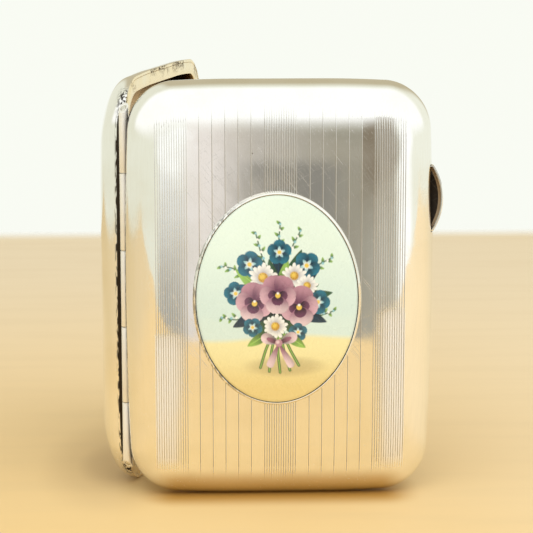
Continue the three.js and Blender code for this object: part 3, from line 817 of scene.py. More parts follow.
def plaque_share(x, h):
    """0 in the middle of the plaque and 1 on the bezel's outer edge."""
    return np.hypot((x - PLAQUE.x) / BEZEL_HALF[0], (h - PLAQUE.z) / BEZEL_HALF[1])


put_down()
bpy.ops.mesh.primitive_circle_add(vertices=256, radius=1)
bezel = bpy.context.object
bezel.name = "plaque_bezel_silver"
for vertex in bezel.data.vertices:
    vertex.co = (PLAQUE.x + BEZEL_HALF[0] * vertex.co.x, -BEZEL_PROFILE[0][1] * MM,
                 PLAQUE.z + BEZEL_HALF[1] * vertex.co.y)
edit(bezel, "EDGE")
for (t, d), (next_t, next_d) in zip(BEZEL_PROFILE, BEZEL_PROFILE[1:]):
    bpy.ops.mesh.extrude_edges_move(TRANSFORM_OT_translate={"value": (0, (d - next_d) * MM, 0)})
    shrink = [(half - next_t * MM) / (half - t * MM) for half in BEZEL_HALF]
    bpy.ops.transform.resize(value=(shrink[0], 1, shrink[1]), center_override=PLAQUE)
bpy.ops.mesh.select_all(action="SELECT")
bpy.ops.mesh.remove_doubles(threshold=MERGE)
bpy.ops.mesh.normals_make_consistent(inside=False)
put_down()
bezel.data.materials.append(silver)
bezel.data.materials.append(dirt_and_shade_in_gaps)
# The steep inner wall and the ledge take the dark gap finish: dirt, and painted shade in the gap under the enamel.
for face in bezel.data.polygons:
    inward = (1 - plaque_share(face.center.x, face.center.z)) * BEZEL_HALF[0]
    if inward > 0.45 * MM and face.center.y > -8.69 * MM:
        face.material_index = 1
x, y, h = points_of(bezel).T
mark(bezel, "grime_and_shade", 0.3 * ease(-x, 5 * MM, 12 * MM))
piece_in_place(bezel)
seat(bezel, "front_half", "silver", "plaque_bezel", angle=50)

# %% [markdown]
# The enamel is a shallow glass dome. A fine grid is rolled round into a disc, one edge of it shrunk to the middle,
# and bent to the dome. Its many points carry the picture: each one keeps a colour, like a dab of paint.

# %% Enamel dome
ENAMEL_HALF = (15.73 * MM, 20.48 * MM)
ENAMEL_BACK, ENAMEL_EDGE, ENAMEL_DOME = 8.24 * MM, 8.6 * MM, 0.97 * MM
put_down()
bpy.ops.mesh.primitive_grid_add(x_subdivisions=560, y_subdivisions=120, size=1)
enamel = bpy.context.object
enamel.name = "painted_enamel"
spots = points_of(enamel)
share, round_way = spots[:, 1] + 0.5, 2 * math.pi * spots[:, 0]
rolled = np.clip((share - 0.97) / 0.03, 0, 1) ** 2 * 0.1 * MM
spots = np.stack([PLAQUE.x + ENAMEL_HALF[0] * share * np.cos(round_way),
                  rolled - ENAMEL_EDGE - ENAMEL_DOME * (1 - share ** 2),
                  PLAQUE.z + ENAMEL_HALF[1] * share * np.sin(round_way)], 1)
put_points(enamel, spots)
edit(enamel, "EDGE")
bpy.ops.mesh.remove_doubles(threshold=MERGE)
bpy.ops.mesh.select_all(action="DESELECT")
bpy.ops.mesh.select_non_manifold()
bpy.ops.mesh.extrude_edges_move(TRANSFORM_OT_translate={"value": (0, ENAMEL_EDGE - ENAMEL_BACK - 0.1 * MM, 0)})
bpy.ops.mesh.edge_face_add()
bpy.ops.mesh.select_all(action="SELECT")
bpy.ops.mesh.normals_make_consistent(inside=False)
put_down()
print("enamel has", len(enamel.data.vertices), "points")

# %% [markdown]
# The picture is a tied posy on a pale ground. It is painted over the points in coats, as an enameller would: each
# coat has a mask, from 0 where the ground stays to 1 where the paint covers it. Lengths are millimetres.

# %% Brushes
spots = points_of(enamel)
across = (spots[:, 0] - PLAQUE.x) / ENAMEL_HALF[0] * 16.35
up = (spots[:, 2] - PLAQUE.z) / ENAMEL_HALF[1] * 20.75


def srgb(r, g, b):
    """A colour as a painter's swatch gives it, in the linear values that a renderer needs."""
    c = np.array([r, g, b]) / 255
    return np.where(c <= 0.04045, c / 12.92, ((c + 0.055) / 1.055) ** 2.4)


def brush_coat(mask, colour):
    """Lay a colour over the enamel: mask is 0 where the ground stays and 1 where the paint covers it."""
    paint[:] = paint + (colour - paint) * mask[:, None]


def petal(cx, cz, turn, length, width, root, tip, widest=0.0, vein=0.0, light=0.12, soft=0.09):
    """One dab from a root point, turned in degrees from upright. widest is the share of its length where a
    round-tipped petal is widest, or 0 for a pointed one, and vein draws stripes out of its root."""
    a = np.radians(turn)
    along = (across - cx) * np.sin(a) + (up - cz) * np.cos(a)
    side = (across - cx) * np.cos(a) - (up - cz) * np.sin(a)
    near = np.flatnonzero((along > -0.3) & (along < length + 0.3) & (abs(side) < width))
    t = np.clip(along[near] / length, 0, 1)
    if widest:
        tip_part = np.sqrt(np.clip(1 - (np.maximum(t - widest, 0) / (1 - widest)) ** 2, 0, 1))
        half = width / 2 * np.sin(np.pi / 2 * np.minimum(t / widest, 1)) ** 0.8 * tip_part
    else:
        half = width / 2 * np.sin(np.pi * t ** 0.8) ** 0.75
    inside = ease(half - abs(side[near]), -soft, soft) * ((along[near] > 0) & (along[near] < length))
    across_share = side[near] / np.maximum(half, 0.05)
    shade = 1 + light * across_share * np.cos(a - 2.2) - 0.25 * light * across_share ** 2
    shade -= vein * (0.5 + 0.5 * np.cos(across_share * 11)) * (1 - t)
    colour = (root + (tip - root) * ease(t, 0.1, 0.9)[:, None]) * shade[:, None]
    paint[near] += (colour - paint[near]) * inside[:, None]


def dot(cx, cz, radius, colour, soft=0.1, strength=1.0):
    distance = np.hypot(across - cx, up - cz)
    brush_coat(strength * (1 - ease(distance, radius - soft, radius + soft)), colour)


def stem(points, width, colour):
    """A thin brush line through points, rounded where they turn."""
    ways = np.linspace(0, len(points) - 1, 16 * (len(points) - 1) + 1)
    path = np.stack([np.interp(ways, range(len(points)), axis) for axis in zip(*points)], 1)
    for _ in range(20):
        path[1:-1] = (path[:-2] + 2 * path[1:-1] + path[2:]) / 4
    (left, low), (right, high) = path.min(0) - width, path.max(0) + width
    near = np.flatnonzero((across > left) & (across < right) & (up > low) & (up < high))
    spot = np.stack([across[near], up[near]], 1)
    distance = np.full(len(near), 99.0)
    for start, end in zip(path[:-1], path[1:]):
        way = end - start
        share = np.clip((spot - start) @ way / (way @ way), 0, 1)
        distance = np.minimum(distance, np.hypot(*(spot - start - share[:, None] * way).T))
    mask = 1 - ease(distance, width / 2 - 0.06, width / 2 + 0.08)
    paint[near] += (colour - paint[near]) * mask[:, None]


def leaf(cx, cz, turn, length, width, dark, pale):
    petal(cx, cz, turn, length, width, dark, pale, vein=0.1, light=0.3)
    a = np.radians(turn)
    stem([(cx, cz), (cx + 0.85 * length * np.sin(a), cz + 0.85 * length * np.cos(a))], 0.12, pale * 1.35)


def daisy(cx, cz, radius, first=0.0):
    for k in range(15):
        turn = first + 24 * k
        reach = radius * (1 - 0.08 * (k % 3))
        petal(cx, cz, turn, reach, 0.3 * radius, GREY, WHITE, widest=0.75, vein=0.12, light=0.1, soft=0.07)
    dot(cx, cz, 0.33 * radius, OCHRE)
    dot(cx - 0.07 * radius, cz + 0.08 * radius, 0.2 * radius, YELLOW, soft=0.25)
    for k in range(9):
        dot(cx + 0.24 * radius * np.sin(0.7 * k), cz + 0.24 * radius * np.cos(0.7 * k), 0.09, BROWN, strength=0.6)


def bluebell(cx, cz, radius, first=0.0):
    for k in range(5):
        petal(cx, cz, first + 72 * k, radius, 0.95 * radius, DEEP_TEAL, TEAL, widest=0.62, vein=0.25, light=0.25)
    for k in range(5):
        petal(cx, cz, first + 72 * k, 0.5 * radius, 0.25 * radius, WHITE, SKY)
    dot(cx, cz, 0.16 * radius, YELLOW)


def pansy(cx, cz, size, tilt=0.0):
    for turn, reach, wide in ((-28, 1.0, 1.05), (28, 1.0, 1.05)):
        petal(cx, cz, tilt + turn, size * reach, size * wide, PLUM, ROSE, widest=0.6, vein=0.2, light=0.2)
    for turn in (-100, 100):
        petal(cx, cz, tilt + turn, 0.92 * size, 0.95 * size, MAUVE, PINK, widest=0.6, vein=0.15, light=0.2)
        petal(cx, cz, tilt + turn, 0.5 * size, 0.5 * size, DARK_PLUM, PLUM, widest=0.5, vein=0.3)
    petal(cx, cz, tilt + 180, 0.98 * size, 1.15 * size, MAUVE, PALE_PINK, widest=0.55, vein=0.15, light=0.2)
    petal(cx, cz, tilt + 180, 0.55 * size, 0.6 * size, DARK_PLUM, PLUM, widest=0.5, vein=0.3)
    dot(cx, cz - 0.05 * size, 0.13 * size, YELLOW)
    dot(cx, cz + 0.06 * size, 0.06 * size, WHITE)


WHITE, GREY = srgb(250, 250, 244), srgb(176, 172, 178)
YELLOW, OCHRE, BROWN = srgb(240, 205, 90), srgb(206, 158, 62), srgb(104, 72, 40)
LEAF_DARK, LEAF, LIME = srgb(24, 40, 34), srgb(52, 92, 62), srgb(148, 190, 90)
DEEP_TEAL, TEAL, SKY = srgb(14, 52, 74), srgb(38, 116, 140), srgb(150, 205, 214)
DARK_PLUM, PLUM, MAUVE = srgb(48, 22, 44), srgb(110, 62, 92), srgb(152, 98, 124)
ROSE, PINK, PALE_PINK = srgb(190, 140, 156), srgb(214, 172, 184), srgb(232, 206, 210)
print("brushes ready for", len(across), "points")

# %% [markdown]
# First the ground: mint above, cream and sand below, with the posy's soft shadow. Stems and sprays come next, and
# then the leaves, which fan out from one point behind the flowers.

# %% Ground, stems and leaves
# ground
MINT, AQUA = srgb(233, 249, 235), srgb(219, 239, 231)
CREAM, SAND = srgb(246, 236, 178), srgb(232, 205, 132)
rise = ease(up, -4, 14)[:, None]
paint = AQUA + (MINT - AQUA) * rise
table_edge = -7.6 + 0.5 * np.sin(across * 0.21 + 1) + 0.02 * across
below = ease(up, table_edge + 0.7, table_edge - 0.7)
brush_coat(below, CREAM)
brush_coat(0.8 * ease(up, -9, -19), SAND)

# shadow on the table
shadow = ((across - 1.6) / 8.5) ** 2 + ((up + 13.4) / 2.2) ** 2
brush_coat(0.42 * (1 - ease(shadow, 0.1, 1.3)), srgb(150, 128, 86))

# stems
for foot, top in (((-3.4, -13.6), (-0.6, -6)), ((-1.6, -14.4), (-0.2, -6)), ((0.6, -14.6), (0.2, -6)),
                  ((2.6, -14.2), (0.6, -6)), ((4.4, -13.2), (1.0, -6))):
    for width, colour in ((0.55, LEAF), (0.2, LIME)):
        stem([foot, ((foot[0] + top[0]) / 2 - 0.3, (foot[1] + top[1]) / 2), top], width, colour)

# sprays
for foot, bend, top in (((-1, 4), (-3.2, 9), (-4.4, 13.6)), ((1, 5), (2.6, 10), (4.8, 14)),
                        ((3, 2), (8, 7), (11.2, 8.4)), ((-3, 2), (-8.4, 6.4), (-11.4, 6.8)),
                        ((0, 5), (0.2, 11), (0.6, 15.4)), ((3, -2), (8, -3.4), (11.6, -2.2)),
                        ((-3, -2), (-8, -4), (-11.4, -3.4))):
    stem([foot, bend, top], 0.24, LEAF)
    for k in range(5):
        s = 0.45 + 0.13 * k
        x = (1 - s) ** 2 * foot[0] + 2 * s * (1 - s) * bend[0] + s * s * top[0]
        z = (1 - s) ** 2 * foot[1] + 2 * s * (1 - s) * bend[1] + s * s * top[1]
        lean = np.degrees(np.arctan2(top[0] - foot[0], top[1] - foot[1]))
        petal(x, z, lean + (55 if k % 2 else -55), 1.5 - 0.12 * k, 0.6, LEAF, LIME)
        dot(x, z, 0.3 - 0.02 * k, WHITE if k % 2 else SKY)

# leaves
for turn, length, width, kind in ((-150, 8, 3.2, 0), (150, 8.4, 3.2, 0), (-118, 10.4, 3.4, 1), (112, 10.6, 3.2, 1),
                                  (-82, 11, 3, 0), (80, 11.2, 3, 0), (-52, 11, 3.2, 2), (50, 11, 3.2, 1),
                                  (-26, 11.4, 3, 0), (24, 11.6, 3, 0), (0, 11.8, 2.8, 1), (-100, 8, 3, 2),
                                  (98, 8, 3, 2), (66, 9, 2.8, 0), (-66, 9, 2.8, 0), (-38, 9, 2.8, 1),
                                  (38, 9, 2.8, 0), (12, 9, 2.6, 2), (-12, 9, 2.6, 0)):
    dark, pale = ((LEAF_DARK, LEAF), (LEAF_DARK, DEEP_TEAL), (LEAF, LIME))[kind]
    leaf(0.2, -0.5, turn, length, width, dark, pale)
brush_coat(0.9 * (1 - ease(np.hypot(across / 5.2, (up - 0.4) / 6), 0.5, 1.0)), LEAF_DARK)
print("ground, stems and leaves painted")

# %% [markdown]
# The flowers are laid from back to front: blue ones at the edge, daisies between, pansies in the middle. A ribbon ties
# the stems, and a faint grain over everything breaks the flat colour. The finished picture is kept on the points.

# %% Flowers and ribbon
# flowers
for flower, *place in ((bluebell, -5.6, 7.2, 2.7, 10), (bluebell, 5.9, 6.9, 2.8, 40), (bluebell, 0.4, 9.6, 2.5, 0),
                       (bluebell, 8.2, -0.4, 2.5, 22), (bluebell, -8.4, 1.4, 2.4, 60), (daisy, -2.9, 4.6, 3.0, 5),
                       (daisy, 3.4, 4.9, 2.6, 0), (daisy, 6.0, 2.9, 2.3, 11), (pansy, -4.6, -0.4, 4.1, 14),
                       (pansy, 4.4, -1.2, 4.2, -12), (pansy, 0.1, 1.2, 4.0, 3), (daisy, -0.4, -5.2, 2.6, 8),
                       (bluebell, -5.0, -5.4, 2.0, 30), (bluebell, 4.2, -6.4, 1.9, 0)):
    flower(*place)
leaf(-1.8, -6.6, -122, 5.0, 2.0, LEAF, LIME)
leaf(1.6, -6.8, 124, 5.0, 2.0, LEAF, LIME)

# ribbon
for turn, length in ((-68, 3.8), (66, 4.0)):
    petal(0.3, -8.6, turn, length, 2.2, GREY * 0.55, PALE_PINK, widest=0.7, vein=0.25, light=0.35)
    petal(0.3, -8.6, turn, 0.7 * length, 1.0, DARK_PLUM, MAUVE, widest=0.6)
for turn, length in ((-158, 5.2), (150, 5.6)):
    petal(0.3, -8.7, turn, length, 1.5, MAUVE, PALE_PINK, widest=0.9, vein=0.2, light=0.3)
dot(0.3, -8.6, 0.75, ROSE)
dot(0.1, -8.4, 0.35, PALE_PINK, soft=0.2)

# brush grain
grain = np.sin(across * 9.1 + 3 * np.sin(up * 2.3)) * np.sin(up * 7.7 + 2 * np.sin(across * 1.9))
paint *= (1 + 0.025 * grain)[:, None]
colours = enamel.data.attributes.new("paint", "FLOAT_COLOR", "POINT")
colours.data.foreach_set("color", np.concatenate([paint, np.ones((len(paint), 1))], 1).ravel())
print("flowers and ribbon painted")

# %% [markdown]
# Fired enamel is glass over paint. The colour comes from the points, so no picture file is needed. The layer below is
# softly glossy, and a clear coat over it gives the sharp shine of glass.

# %% Enamel finish
glass, tree, surface = new_finish("painted_enamel")
painted = add("ShaderNodeAttribute", attribute_name="paint").outputs["Color"]
tree.links.new(painted, surface.inputs["Base Color"])
tree.links.new(levels(patches(3, 0.3, 0.7), 0.22, 0.34), surface.inputs["Roughness"])
surface.inputs["Coat Weight"].default_value = 1
surface.inputs["Coat Roughness"].default_value = 0.04
enamel.data.materials.append(glass)
piece_in_place(enamel)
seat(enamel, "front_half", "enamel", "enamel_face", angle=40)

# %% [markdown]
# The thumb-piece is a half-moon that stands out of the free side, with a shank that goes in through the wall. One
# outline is extruded from the back to the front, over a rounded edge and down a slope into a shallow dish. The dish
# is painted black and its slope brown, as painted dark reflection, and only the rim is bright.

# %% Thumb-piece
THUMB_BASE, THUMB_TIP, THUMB_TAIL = 30.2 * MM, 32.1 * MM, 28.56 * MM
proud = THUMB_TIP - THUMB_BASE
thumb_radius = ((THUMB_LENGTH / 2) ** 2 + proud ** 2) / (2 * proud)
half_turn = math.asin(THUMB_LENGTH / 2 / thumb_radius)
THUMB_STEPS = ((0, -1), (0, -2.84), (0.03, -2.92), (0.08, -2.98), (0.15, -3), (0.36, -3), (0.42, -2.94),
               (0.95, -2.62))


def thumb_outline(inset):
    """The half-moon's curve and the two ends of the shank, moved in by an inset."""
    turn = np.linspace(-half_turn, half_turn, 97)
    radius = thumb_radius - inset
    curve = [(THUMB_TIP - thumb_radius + radius * math.cos(a), radius * math.sin(a)) for a in turn]
    return np.array(curve + [(THUMB_TAIL, curve[-1][1]), (THUMB_TAIL, curve[0][1])])


put_down()
bpy.ops.mesh.primitive_circle_add(vertices=99, radius=MM)
thumb = bpy.context.object
thumb.name = "thumb_piece_silver"
for vertex, (x, h) in zip(thumb.data.vertices, thumb_outline(0)):
    vertex.co = (x, THUMB_STEPS[0][1] * MM, THUMB_MIDDLE + h)
edit(thumb, "EDGE")
bpy.ops.mesh.edge_face_add()
for (inset, _), (next_inset, y) in zip(THUMB_STEPS, THUMB_STEPS[1:]):
    here, there = thumb_outline(inset * MM), thumb_outline(next_inset * MM)
    bpy.ops.mesh.extrude_region_move()
    cage = bmesh.from_edit_mesh(thumb.data)
    for vertex in cage.verts:
        if vertex.select:
            k = np.hypot(*(here - (vertex.co.x, vertex.co.z - THUMB_MIDDLE)).T).argmin()
            vertex.co = (there[k][0], y * MM, THUMB_MIDDLE + there[k][1])
    bmesh.update_edit_mesh(thumb.data)
bpy.ops.mesh.select_all(action="DESELECT")
bpy.ops.mesh.select_non_manifold()
if thumb.data.total_edge_sel:
    bpy.ops.mesh.edge_face_add()
bpy.ops.mesh.select_all(action="SELECT")
bpy.ops.mesh.normals_make_consistent(inside=False)
put_down()
for finish in (silver, dish_slope_reflection, dish_dark_reflection):
    thumb.data.materials.append(finish)
# Painted dark reflection: the dish floor is coloured black and its slope brown.
for face in thumb.data.polygons:
    sunk = face.normal.y < -0.3 and -2.97 * MM < face.center.y < -2.61 * MM
    if sunk and face.center.x < THUMB_TIP - 0.35 * MM:
        face.material_index = 2 if face.center.y > -2.63 * MM else 1
piece_in_place(thumb)
seat(thumb, "thumb_catch", "silver", "thumb_piece", angle=35)

# %% [markdown]
# Behind it sit a leaf spring on a foot, a hook and three rivets. They are plain machined pieces, so each one is a
# copy of its CAD solid, cleaned to flat faces and with its sharp edges broken as a file would.

# %% Catch
for node, body, slot, finish in (("catch_spring", "thumb_catch", "steel", steel),
                                 ("catch_hook", "thumb_catch", "steel", steel),
                                 ("spring_foot", "front_half", "worn_silver", dulled_silver),
                                 ("spring_rivet", "front_half", "steel", steel),
                                 ("thumb_rivet_upper", "thumb_catch", "steel", steel),
                                 ("thumb_rivet_lower", "thumb_catch", "steel", steel)):
    pick_up(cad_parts[node])
    bpy.ops.object.duplicate()
    small = bpy.context.object
    small.name = node + "_broken_edges"
    settle(small)
    small.data.materials.clear()
    small.data.materials.append(finish)
    edit(small)
    bpy.ops.mesh.remove_doubles(threshold=MERGE)
    bpy.ops.mesh.dissolve_limited(angle_limit=0.02)
    choose(small, "EDGE", lambda e: len(e.link_faces) == 2 and e.calc_face_angle() > 0.7)
    bpy.ops.mesh.bevel(offset=0.05 * MM, segments=2, affect="EDGES", clamp_overlap=True)
    put_down()
    seat(small, body, slot, node)

# %% [markdown]
# In the rear half two wire staples hold a strap for the cigarettes. A staple is a curve through its corners,
# rounded, given the wire's thickness and turned into a mesh. The second one is a mirrored copy.

# %% Strap keepers
WIRE_RADIUS = 0.4 * MM
KEEPER_X, KEEPER_WALL, KEEPER_DEPTH, KEEPER_REACH = 27.92 * MM, 29.28 * MM, 2.15 * MM, 5 * MM


def keeper(name, side):
    bend = 0.6 * MM
    turn = np.linspace(0, math.pi / 2, 9)
    arm = [(KEEPER_X + bend - bend * math.sin(a), KEEPER_REACH - bend + bend * math.cos(a)) for a in turn]
    way = [(KEEPER_WALL, KEEPER_REACH)] + arm + [(x, -h) for x, h in arm[::-1]] + [(KEEPER_WALL, -KEEPER_REACH)]
    line = bpy.data.curves.new(name, "CURVE")
    line.dimensions = "3D"
    line.bevel_depth, line.bevel_resolution, line.use_fill_caps = WIRE_RADIUS, 5, True
    run = line.splines.new("POLY")
    run.points.add(len(way) - 1)
    for point, (x, h) in zip(run.points, way):
        point.co = (side * x, -KEEPER_DEPTH, h, 1)
    wire = bpy.data.objects.new(name, line)
    bpy.context.collection.objects.link(wire)
    pick_up(wire)
    bpy.ops.object.convert(target="MESH")
    wire = bpy.context.object
    wire.data.materials.append(dulled_silver)
    to_rear(wire)
    return wire


seat(keeper("keeper_wire_hinge_side", -1), "rear_half", "worn_silver", "strap_keeper_hinge_side", angle=50)
seat(keeper("keeper_wire_clasp_side", 1), "rear_half", "worn_silver", "strap_keeper_clasp_side", angle=50)

# %% [markdown]
# The strap is a woven elastic band. It runs over the keepers at both ends, round them and back under itself. A fine
# grid is laid along that way, ribbed like the weave, and then given its thickness.

# %% Elastic strap
STRAP_WIDTH, STRAP_THICKNESS, STRAP_LIFT, LOOP = 8 * MM, 0.42 * MM, 1.35 * MM, 0.8 * MM


def strap_way(steps):
    """Points along the band's middle as x and depth, with the direction that faces out of the case."""
    loop = [(KEEPER_X + LOOP * math.cos(a), KEEPER_DEPTH + LOOP * math.sin(a))
            for a in np.linspace(-math.pi / 2, math.radians(140), 40)]
    tail = [(26 * MM, 2.02 * MM), (25 * MM, 1.86 * MM), (23.6 * MM, 1.84 * MM)]
    right = [(0, STRAP_LIFT)] + loop + tail
    points = np.array([(-x, d) for x, d in right[:0:-1]] + right)
    length = np.concatenate([[0], np.cumsum(np.hypot(*np.diff(points, axis=0).T))])
    even = np.linspace(0, length[-1], steps)
    way = np.stack([np.interp(even, length, points[:, k]) for k in (0, 1)], 1)
    for _ in range(3):
        way[1:-1] = (way[:-2] + 2 * way[1:-1] + way[2:]) / 4
    along = np.gradient(way, axis=0)
    along /= np.hypot(*along.T)[:, None]
    return way, np.stack([along[:, 1], -along[:, 0]], 1), even


steps, ribs = 420, 66
put_down()
bpy.ops.mesh.primitive_grid_add(x_subdivisions=steps - 1, y_subdivisions=ribs - 1, size=1)
strap = bpy.context.object
strap.name = "woven_elastic_strap"
way, outward, even = strap_way(steps)
spots = points_of(strap)
k = np.clip(np.rint((spots[:, 0] + 0.5) * (steps - 1)).astype(int), 0, steps - 1)
cord = np.abs(np.sin(spots[:, 1] * math.pi * 11))
crimp = np.sin(even[k] / MM * 2 * math.pi / 0.9 + math.pi * np.floor(spots[:, 1] * 11))
lift = (0.1 * cord + 0.035 * crimp - 0.05) * MM
laid = way[k] + outward[k] * lift[:, None]
spots = np.stack([laid[:, 0], -laid[:, 1], spots[:, 1] * STRAP_WIDTH], 1)
put_points(strap, spots)
shaped(strap, "SOLIDIFY", thickness=STRAP_THICKNESS, offset=0)
face_out(strap)
strap.data.materials.append(elastic)
to_rear(strap)
seat(strap, "rear_half", "elastic", "elastic_strap", angle=60)

# %% [markdown]
# Two rows of stitches hold each end of the strap on itself. One stitch is a small stretched ball, and it is copied
# along the rows.

# %% Stitches
put_down()
bpy.ops.mesh.primitive_uv_sphere_add(segments=12, ring_count=8, radius=1)
stitch = bpy.context.object
stitch.scale = (0.13 * MM, 0.09 * MM, 0.42 * MM)
settle(stitch)
sewn = [stitch]
for x in (-25.6, -24.4, 24.4, 25.6):
    for h in np.linspace(-3.3, 3.3, 7):
        pick_up(stitch)
        bpy.ops.object.duplicate()
        copy = bpy.context.object
        copy.location = (x * MM, -1.05 * MM, h * MM)
        sewn.append(copy)
bpy.data.objects.remove(sewn.pop(0))
pick_up(*sewn)
bpy.ops.object.join()
stitches = bpy.context.object
stitches.name = "strap_stitches"
settle(stitches)
stitches.data.materials.append(thread)
to_rear(stitches)
seat(stitches, "rear_half", "elastic", "elastic_strap", angle=60)

# %% [markdown]
# The copper plate under the enamel stays as the CAD solid, since only its edge can be seen. It gets a finish with
# brown oxide over the metal.

# %% Copper plate
copper, tree, metal = new_finish("oxidised_copper")
metal.inputs["Metallic"].default_value = 1
colour = tinted(patches(2, 0.35, 0.65), (0.5, 0.24, 0.13, 1), (0.2, 0.1, 0.06, 1))
tree.links.new(colour, metal.inputs["Base Color"])
tree.links.new(levels(patches(1, 0.3, 0.7), 0.35, 0.6), metal.inputs["Roughness"])
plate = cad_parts["plaque_plate"]
plate.data.materials.clear()
plate.data.materials.append(copper)
print("plate finish:", copper.name)

# %% [markdown]
# The studio floor is plain and pale. It ends softly behind the case and in front of the camera, where its reflection
# in the silver ends too. Close to the foot a darker, warmer contact shadow is painted on it, and a soft painted
# shade lies beside the open half.

# %% Floor
def span(value, low, high):
    """0 below a low value and 1 above a high one, softly between them."""
    return add("ShaderNodeMapRange", {"Value": value, "From Min": low, "From Max": high},
               interpolation_type="SMOOTHSTEP").outputs["Result"]


def axes():
    """The three coordinates of a place on the piece."""
    place = add("ShaderNodeTexCoord").outputs["Object"]
    return add("ShaderNodeSeparateXYZ", {"Vector": place}).outputs


def see_through(shader, amount):
    """Let a shader fade out by an amount from 0 to 1."""
    clear = add("ShaderNodeBsdfTransparent").outputs["BSDF"]
    veil = add("ShaderNodeMixShader", {0: amount, 1: shader, 2: clear})
    tree.links.new(veil.outputs[0], tree.nodes["Material Output"].inputs["Surface"])


put_down()
bpy.ops.mesh.primitive_plane_add(size=1, location=(0.1, 0.04, 0))
floor = bpy.context.object
floor.name = "floor"
floor.scale = (1.1, 0.58, 1)
settle(floor)
pale, tree, surface = new_finish("pale_floor")
x, y, z = axes()
wide = math_node("ABSOLUTE", x, 0)
colour = tinted(span(x, 0, 0.1), (0.82, 0.57, 0.25, 1), (0.88, 0.68, 0.41, 1))
colour = tinted(span(y, -0.06, 0.28), colour, (0.79, 0.65, 0.45, 1))
colour = tinted(span(x, -0.09, -0.2), colour, (0.71, 0.53, 0.28, 1))
grain = times(patches((60, 9, 60), 0.4, 0.7), 0.1)
colour = tinted(grain, colour, (0.6, 0.44, 0.24, 1))
# Painted contact shadow: the floor is darker and warmer within a few millimetres of the front half's foot.
beside = most(less(wide, 0.0205), 0)
before = most(less(math_node("ABSOLUTE", y, 0), 0.004), 0)
from_foot = math_node("SQRT", plus(times(beside, beside), times(before, before)), 0)
colour = tinted(span(from_foot, 0.0085, 0), colour, (0.5, 0.265, 0.055, 1))
# Painted shade beside the open rear half: a broad soft patch and a tighter one near its corner.
beside = times(plus(x, 0.034), 75)
behind = times(less(y, 0.02), 32)
by_rear = plus(times(beside, beside), times(behind, behind))
for reach, depth in ((1.6, 0.24), (0.36, 0.3)):
    colour = tinted(times(span(by_rear, reach, 0), depth), colour, (0.3, 0.17, 0.07, 1))
tree.links.new(colour, surface.inputs["Base Color"])
surface.inputs["Roughness"].default_value = 0.5
front = plus(y, times(span(wide, 0.02, 0.2), 0.07))
ends = most(span(y, 0.3, 0.322), span(front, -0.148, -0.156))
ends = most(ends, span(x, 0.42, 0.56))
ends = most(ends, span(x, -0.34, -0.43))
see_through(surface.outputs["BSDF"], ends)
floor.data.materials.append(pale)
print("floor", [round(d, 3) for d in floor.dimensions])

# %% [markdown]
# Silver shows what stands round it, so the room is part of the finish: bright above the camera and aslant to the right,
# cream at the sides, khaki above and behind, which draws the case's top edge. A card behind the camera gives the face
# its tones, paler to the left and grey to the right, with two dimmer patches.

# %% Room and light
room = bpy.data.worlds.new("white_room")
room.use_nodes = True
tree = room.node_tree
x, y, z = axes()
wide = math_node("ABSOLUTE", x, 0)
sides = tinted(span(x, -0.6, 0.6), (0.84, 0.85, 0.73, 1), (0.92, 0.94, 0.84, 1))
high = span(z, 0, 0.12)
front = times(span(z, 0.05, 0.3), span(y, 0.06, -0.25))
aslant = times(span(wide, 0.34, 0.46), span(wide, 0.76, 0.62))
aslant = times(aslant, span(y, 0, -0.3))
aslant = times(aslant, span(x, 0, 0.3))
colour = tinted(most(front, aslant), sides, (1.12, 1.14, 1.14, 1))
behind = times(span(y, -0.1, 0.42), span(wide, 0.8, 0.45))
behind = times(behind, span(x, -0.4, -0.15))
colour = tinted(times(high, behind), colour, (0.57, 0.51, 0.36, 1))
low = less(1, high)
colour = tinted(times(low, span(y, 0.75, 0.93)), colour, (0.95, 0.97, 0.9, 1))
tree.links.new(colour, tree.nodes["Background"].inputs["Color"])
bpy.context.scene.world = room


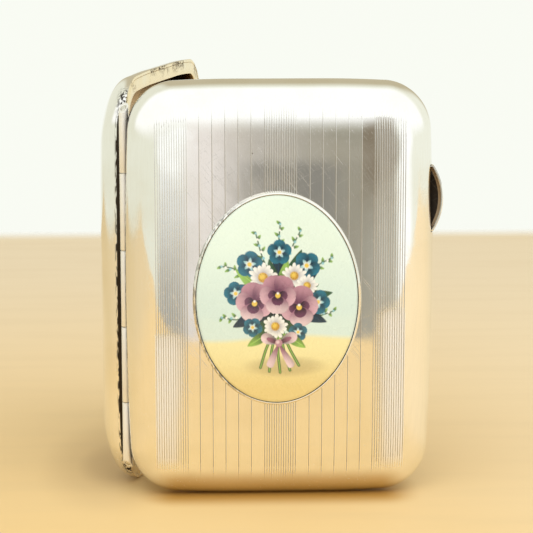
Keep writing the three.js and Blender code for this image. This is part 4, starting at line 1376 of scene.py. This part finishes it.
def card(name, y, low, high, width):
    """An upright card that only reflections see, with its finish's nodes."""
    put_down()
    bpy.ops.mesh.primitive_plane_add(size=1, location=(0, y, (low + high) / 2), rotation=(math.pi / 2, 0, 0))
    sheet = bpy.context.object
    sheet.name = name
    sheet.scale = (width, high - low, 1)
    settle(sheet)
    sheet.visible_camera = False
    finish, tree, surface = new_finish(name)
    sheet.data.materials.append(finish)
    return tree


tree = card("grey_card", -0.6, -0.38, 0.28, 0.66)
x, y, z = axes()
left = tinted(span(z, -0.1, 0.03), (0.44, 0.45, 0.43, 1), (1.12, 1.15, 1.15, 1))
left = tinted(span(x, -0.1, -0.03), left, (0.92, 0.87, 0.85, 1))
right = tinted(span(z, -0.06, 0.01), (0.52, 0.51, 0.45, 1), (0.38, 0.34, 0.28, 1))
right = tinted(span(x, 0.08, 0.16), (0.36, 0.34, 0.28, 1), right)
right = tinted(span(x, 0.01, 0.06), (0.53, 0.5, 0.46, 1), right)
colour = tinted(span(x, -0.015, 0.015), left, right)
dim = times(span(x, 0.002, 0.021), span(x, 0.072, 0.044))
dim = times(dim, span(z, 0.05, 0.014))
colour = tinted(dim, colour, (0.27, 0.26, 0.235, 1))
dim = times(span(x, 0.082, 0.1), span(x, 0.14, 0.115))
dim = times(dim, span(z, -0.06, 0.02))
colour = tinted(dim, colour, (0.25, 0.21, 0.155, 1))
colour = tinted(times(patches(90, 0.4, 0.65), 0.15), colour, (0.6, 0.55, 0.47, 1))
glow = add("ShaderNodeEmission", {"Color": colour}).outputs[0]
edge = less(z, times(span(x, 0.06, 0.18), 0.06))
wide = math_node("ABSOLUTE", x, 0)
see_through(glow, most(span(edge, 0.125, 0.31), span(wide, 0.22, 0.32)))

bpy.ops.object.select_all(action="DESELECT")
bpy.ops.object.light_add(type="AREA", location=(0.15, -0.35, 0.75))
softbox = bpy.context.object
softbox.data.shape = "RECTANGLE"
softbox.data.size, softbox.data.size_y = 0.9, 0.6
softbox.data.energy = 2.8
softbox.visible_glossy = False
softbox.rotation_euler = (Vector((0, 0, 0.04)) - softbox.location).to_track_quat("-Z", "Y").to_euler()
print("softbox", softbox.data.energy, "W")
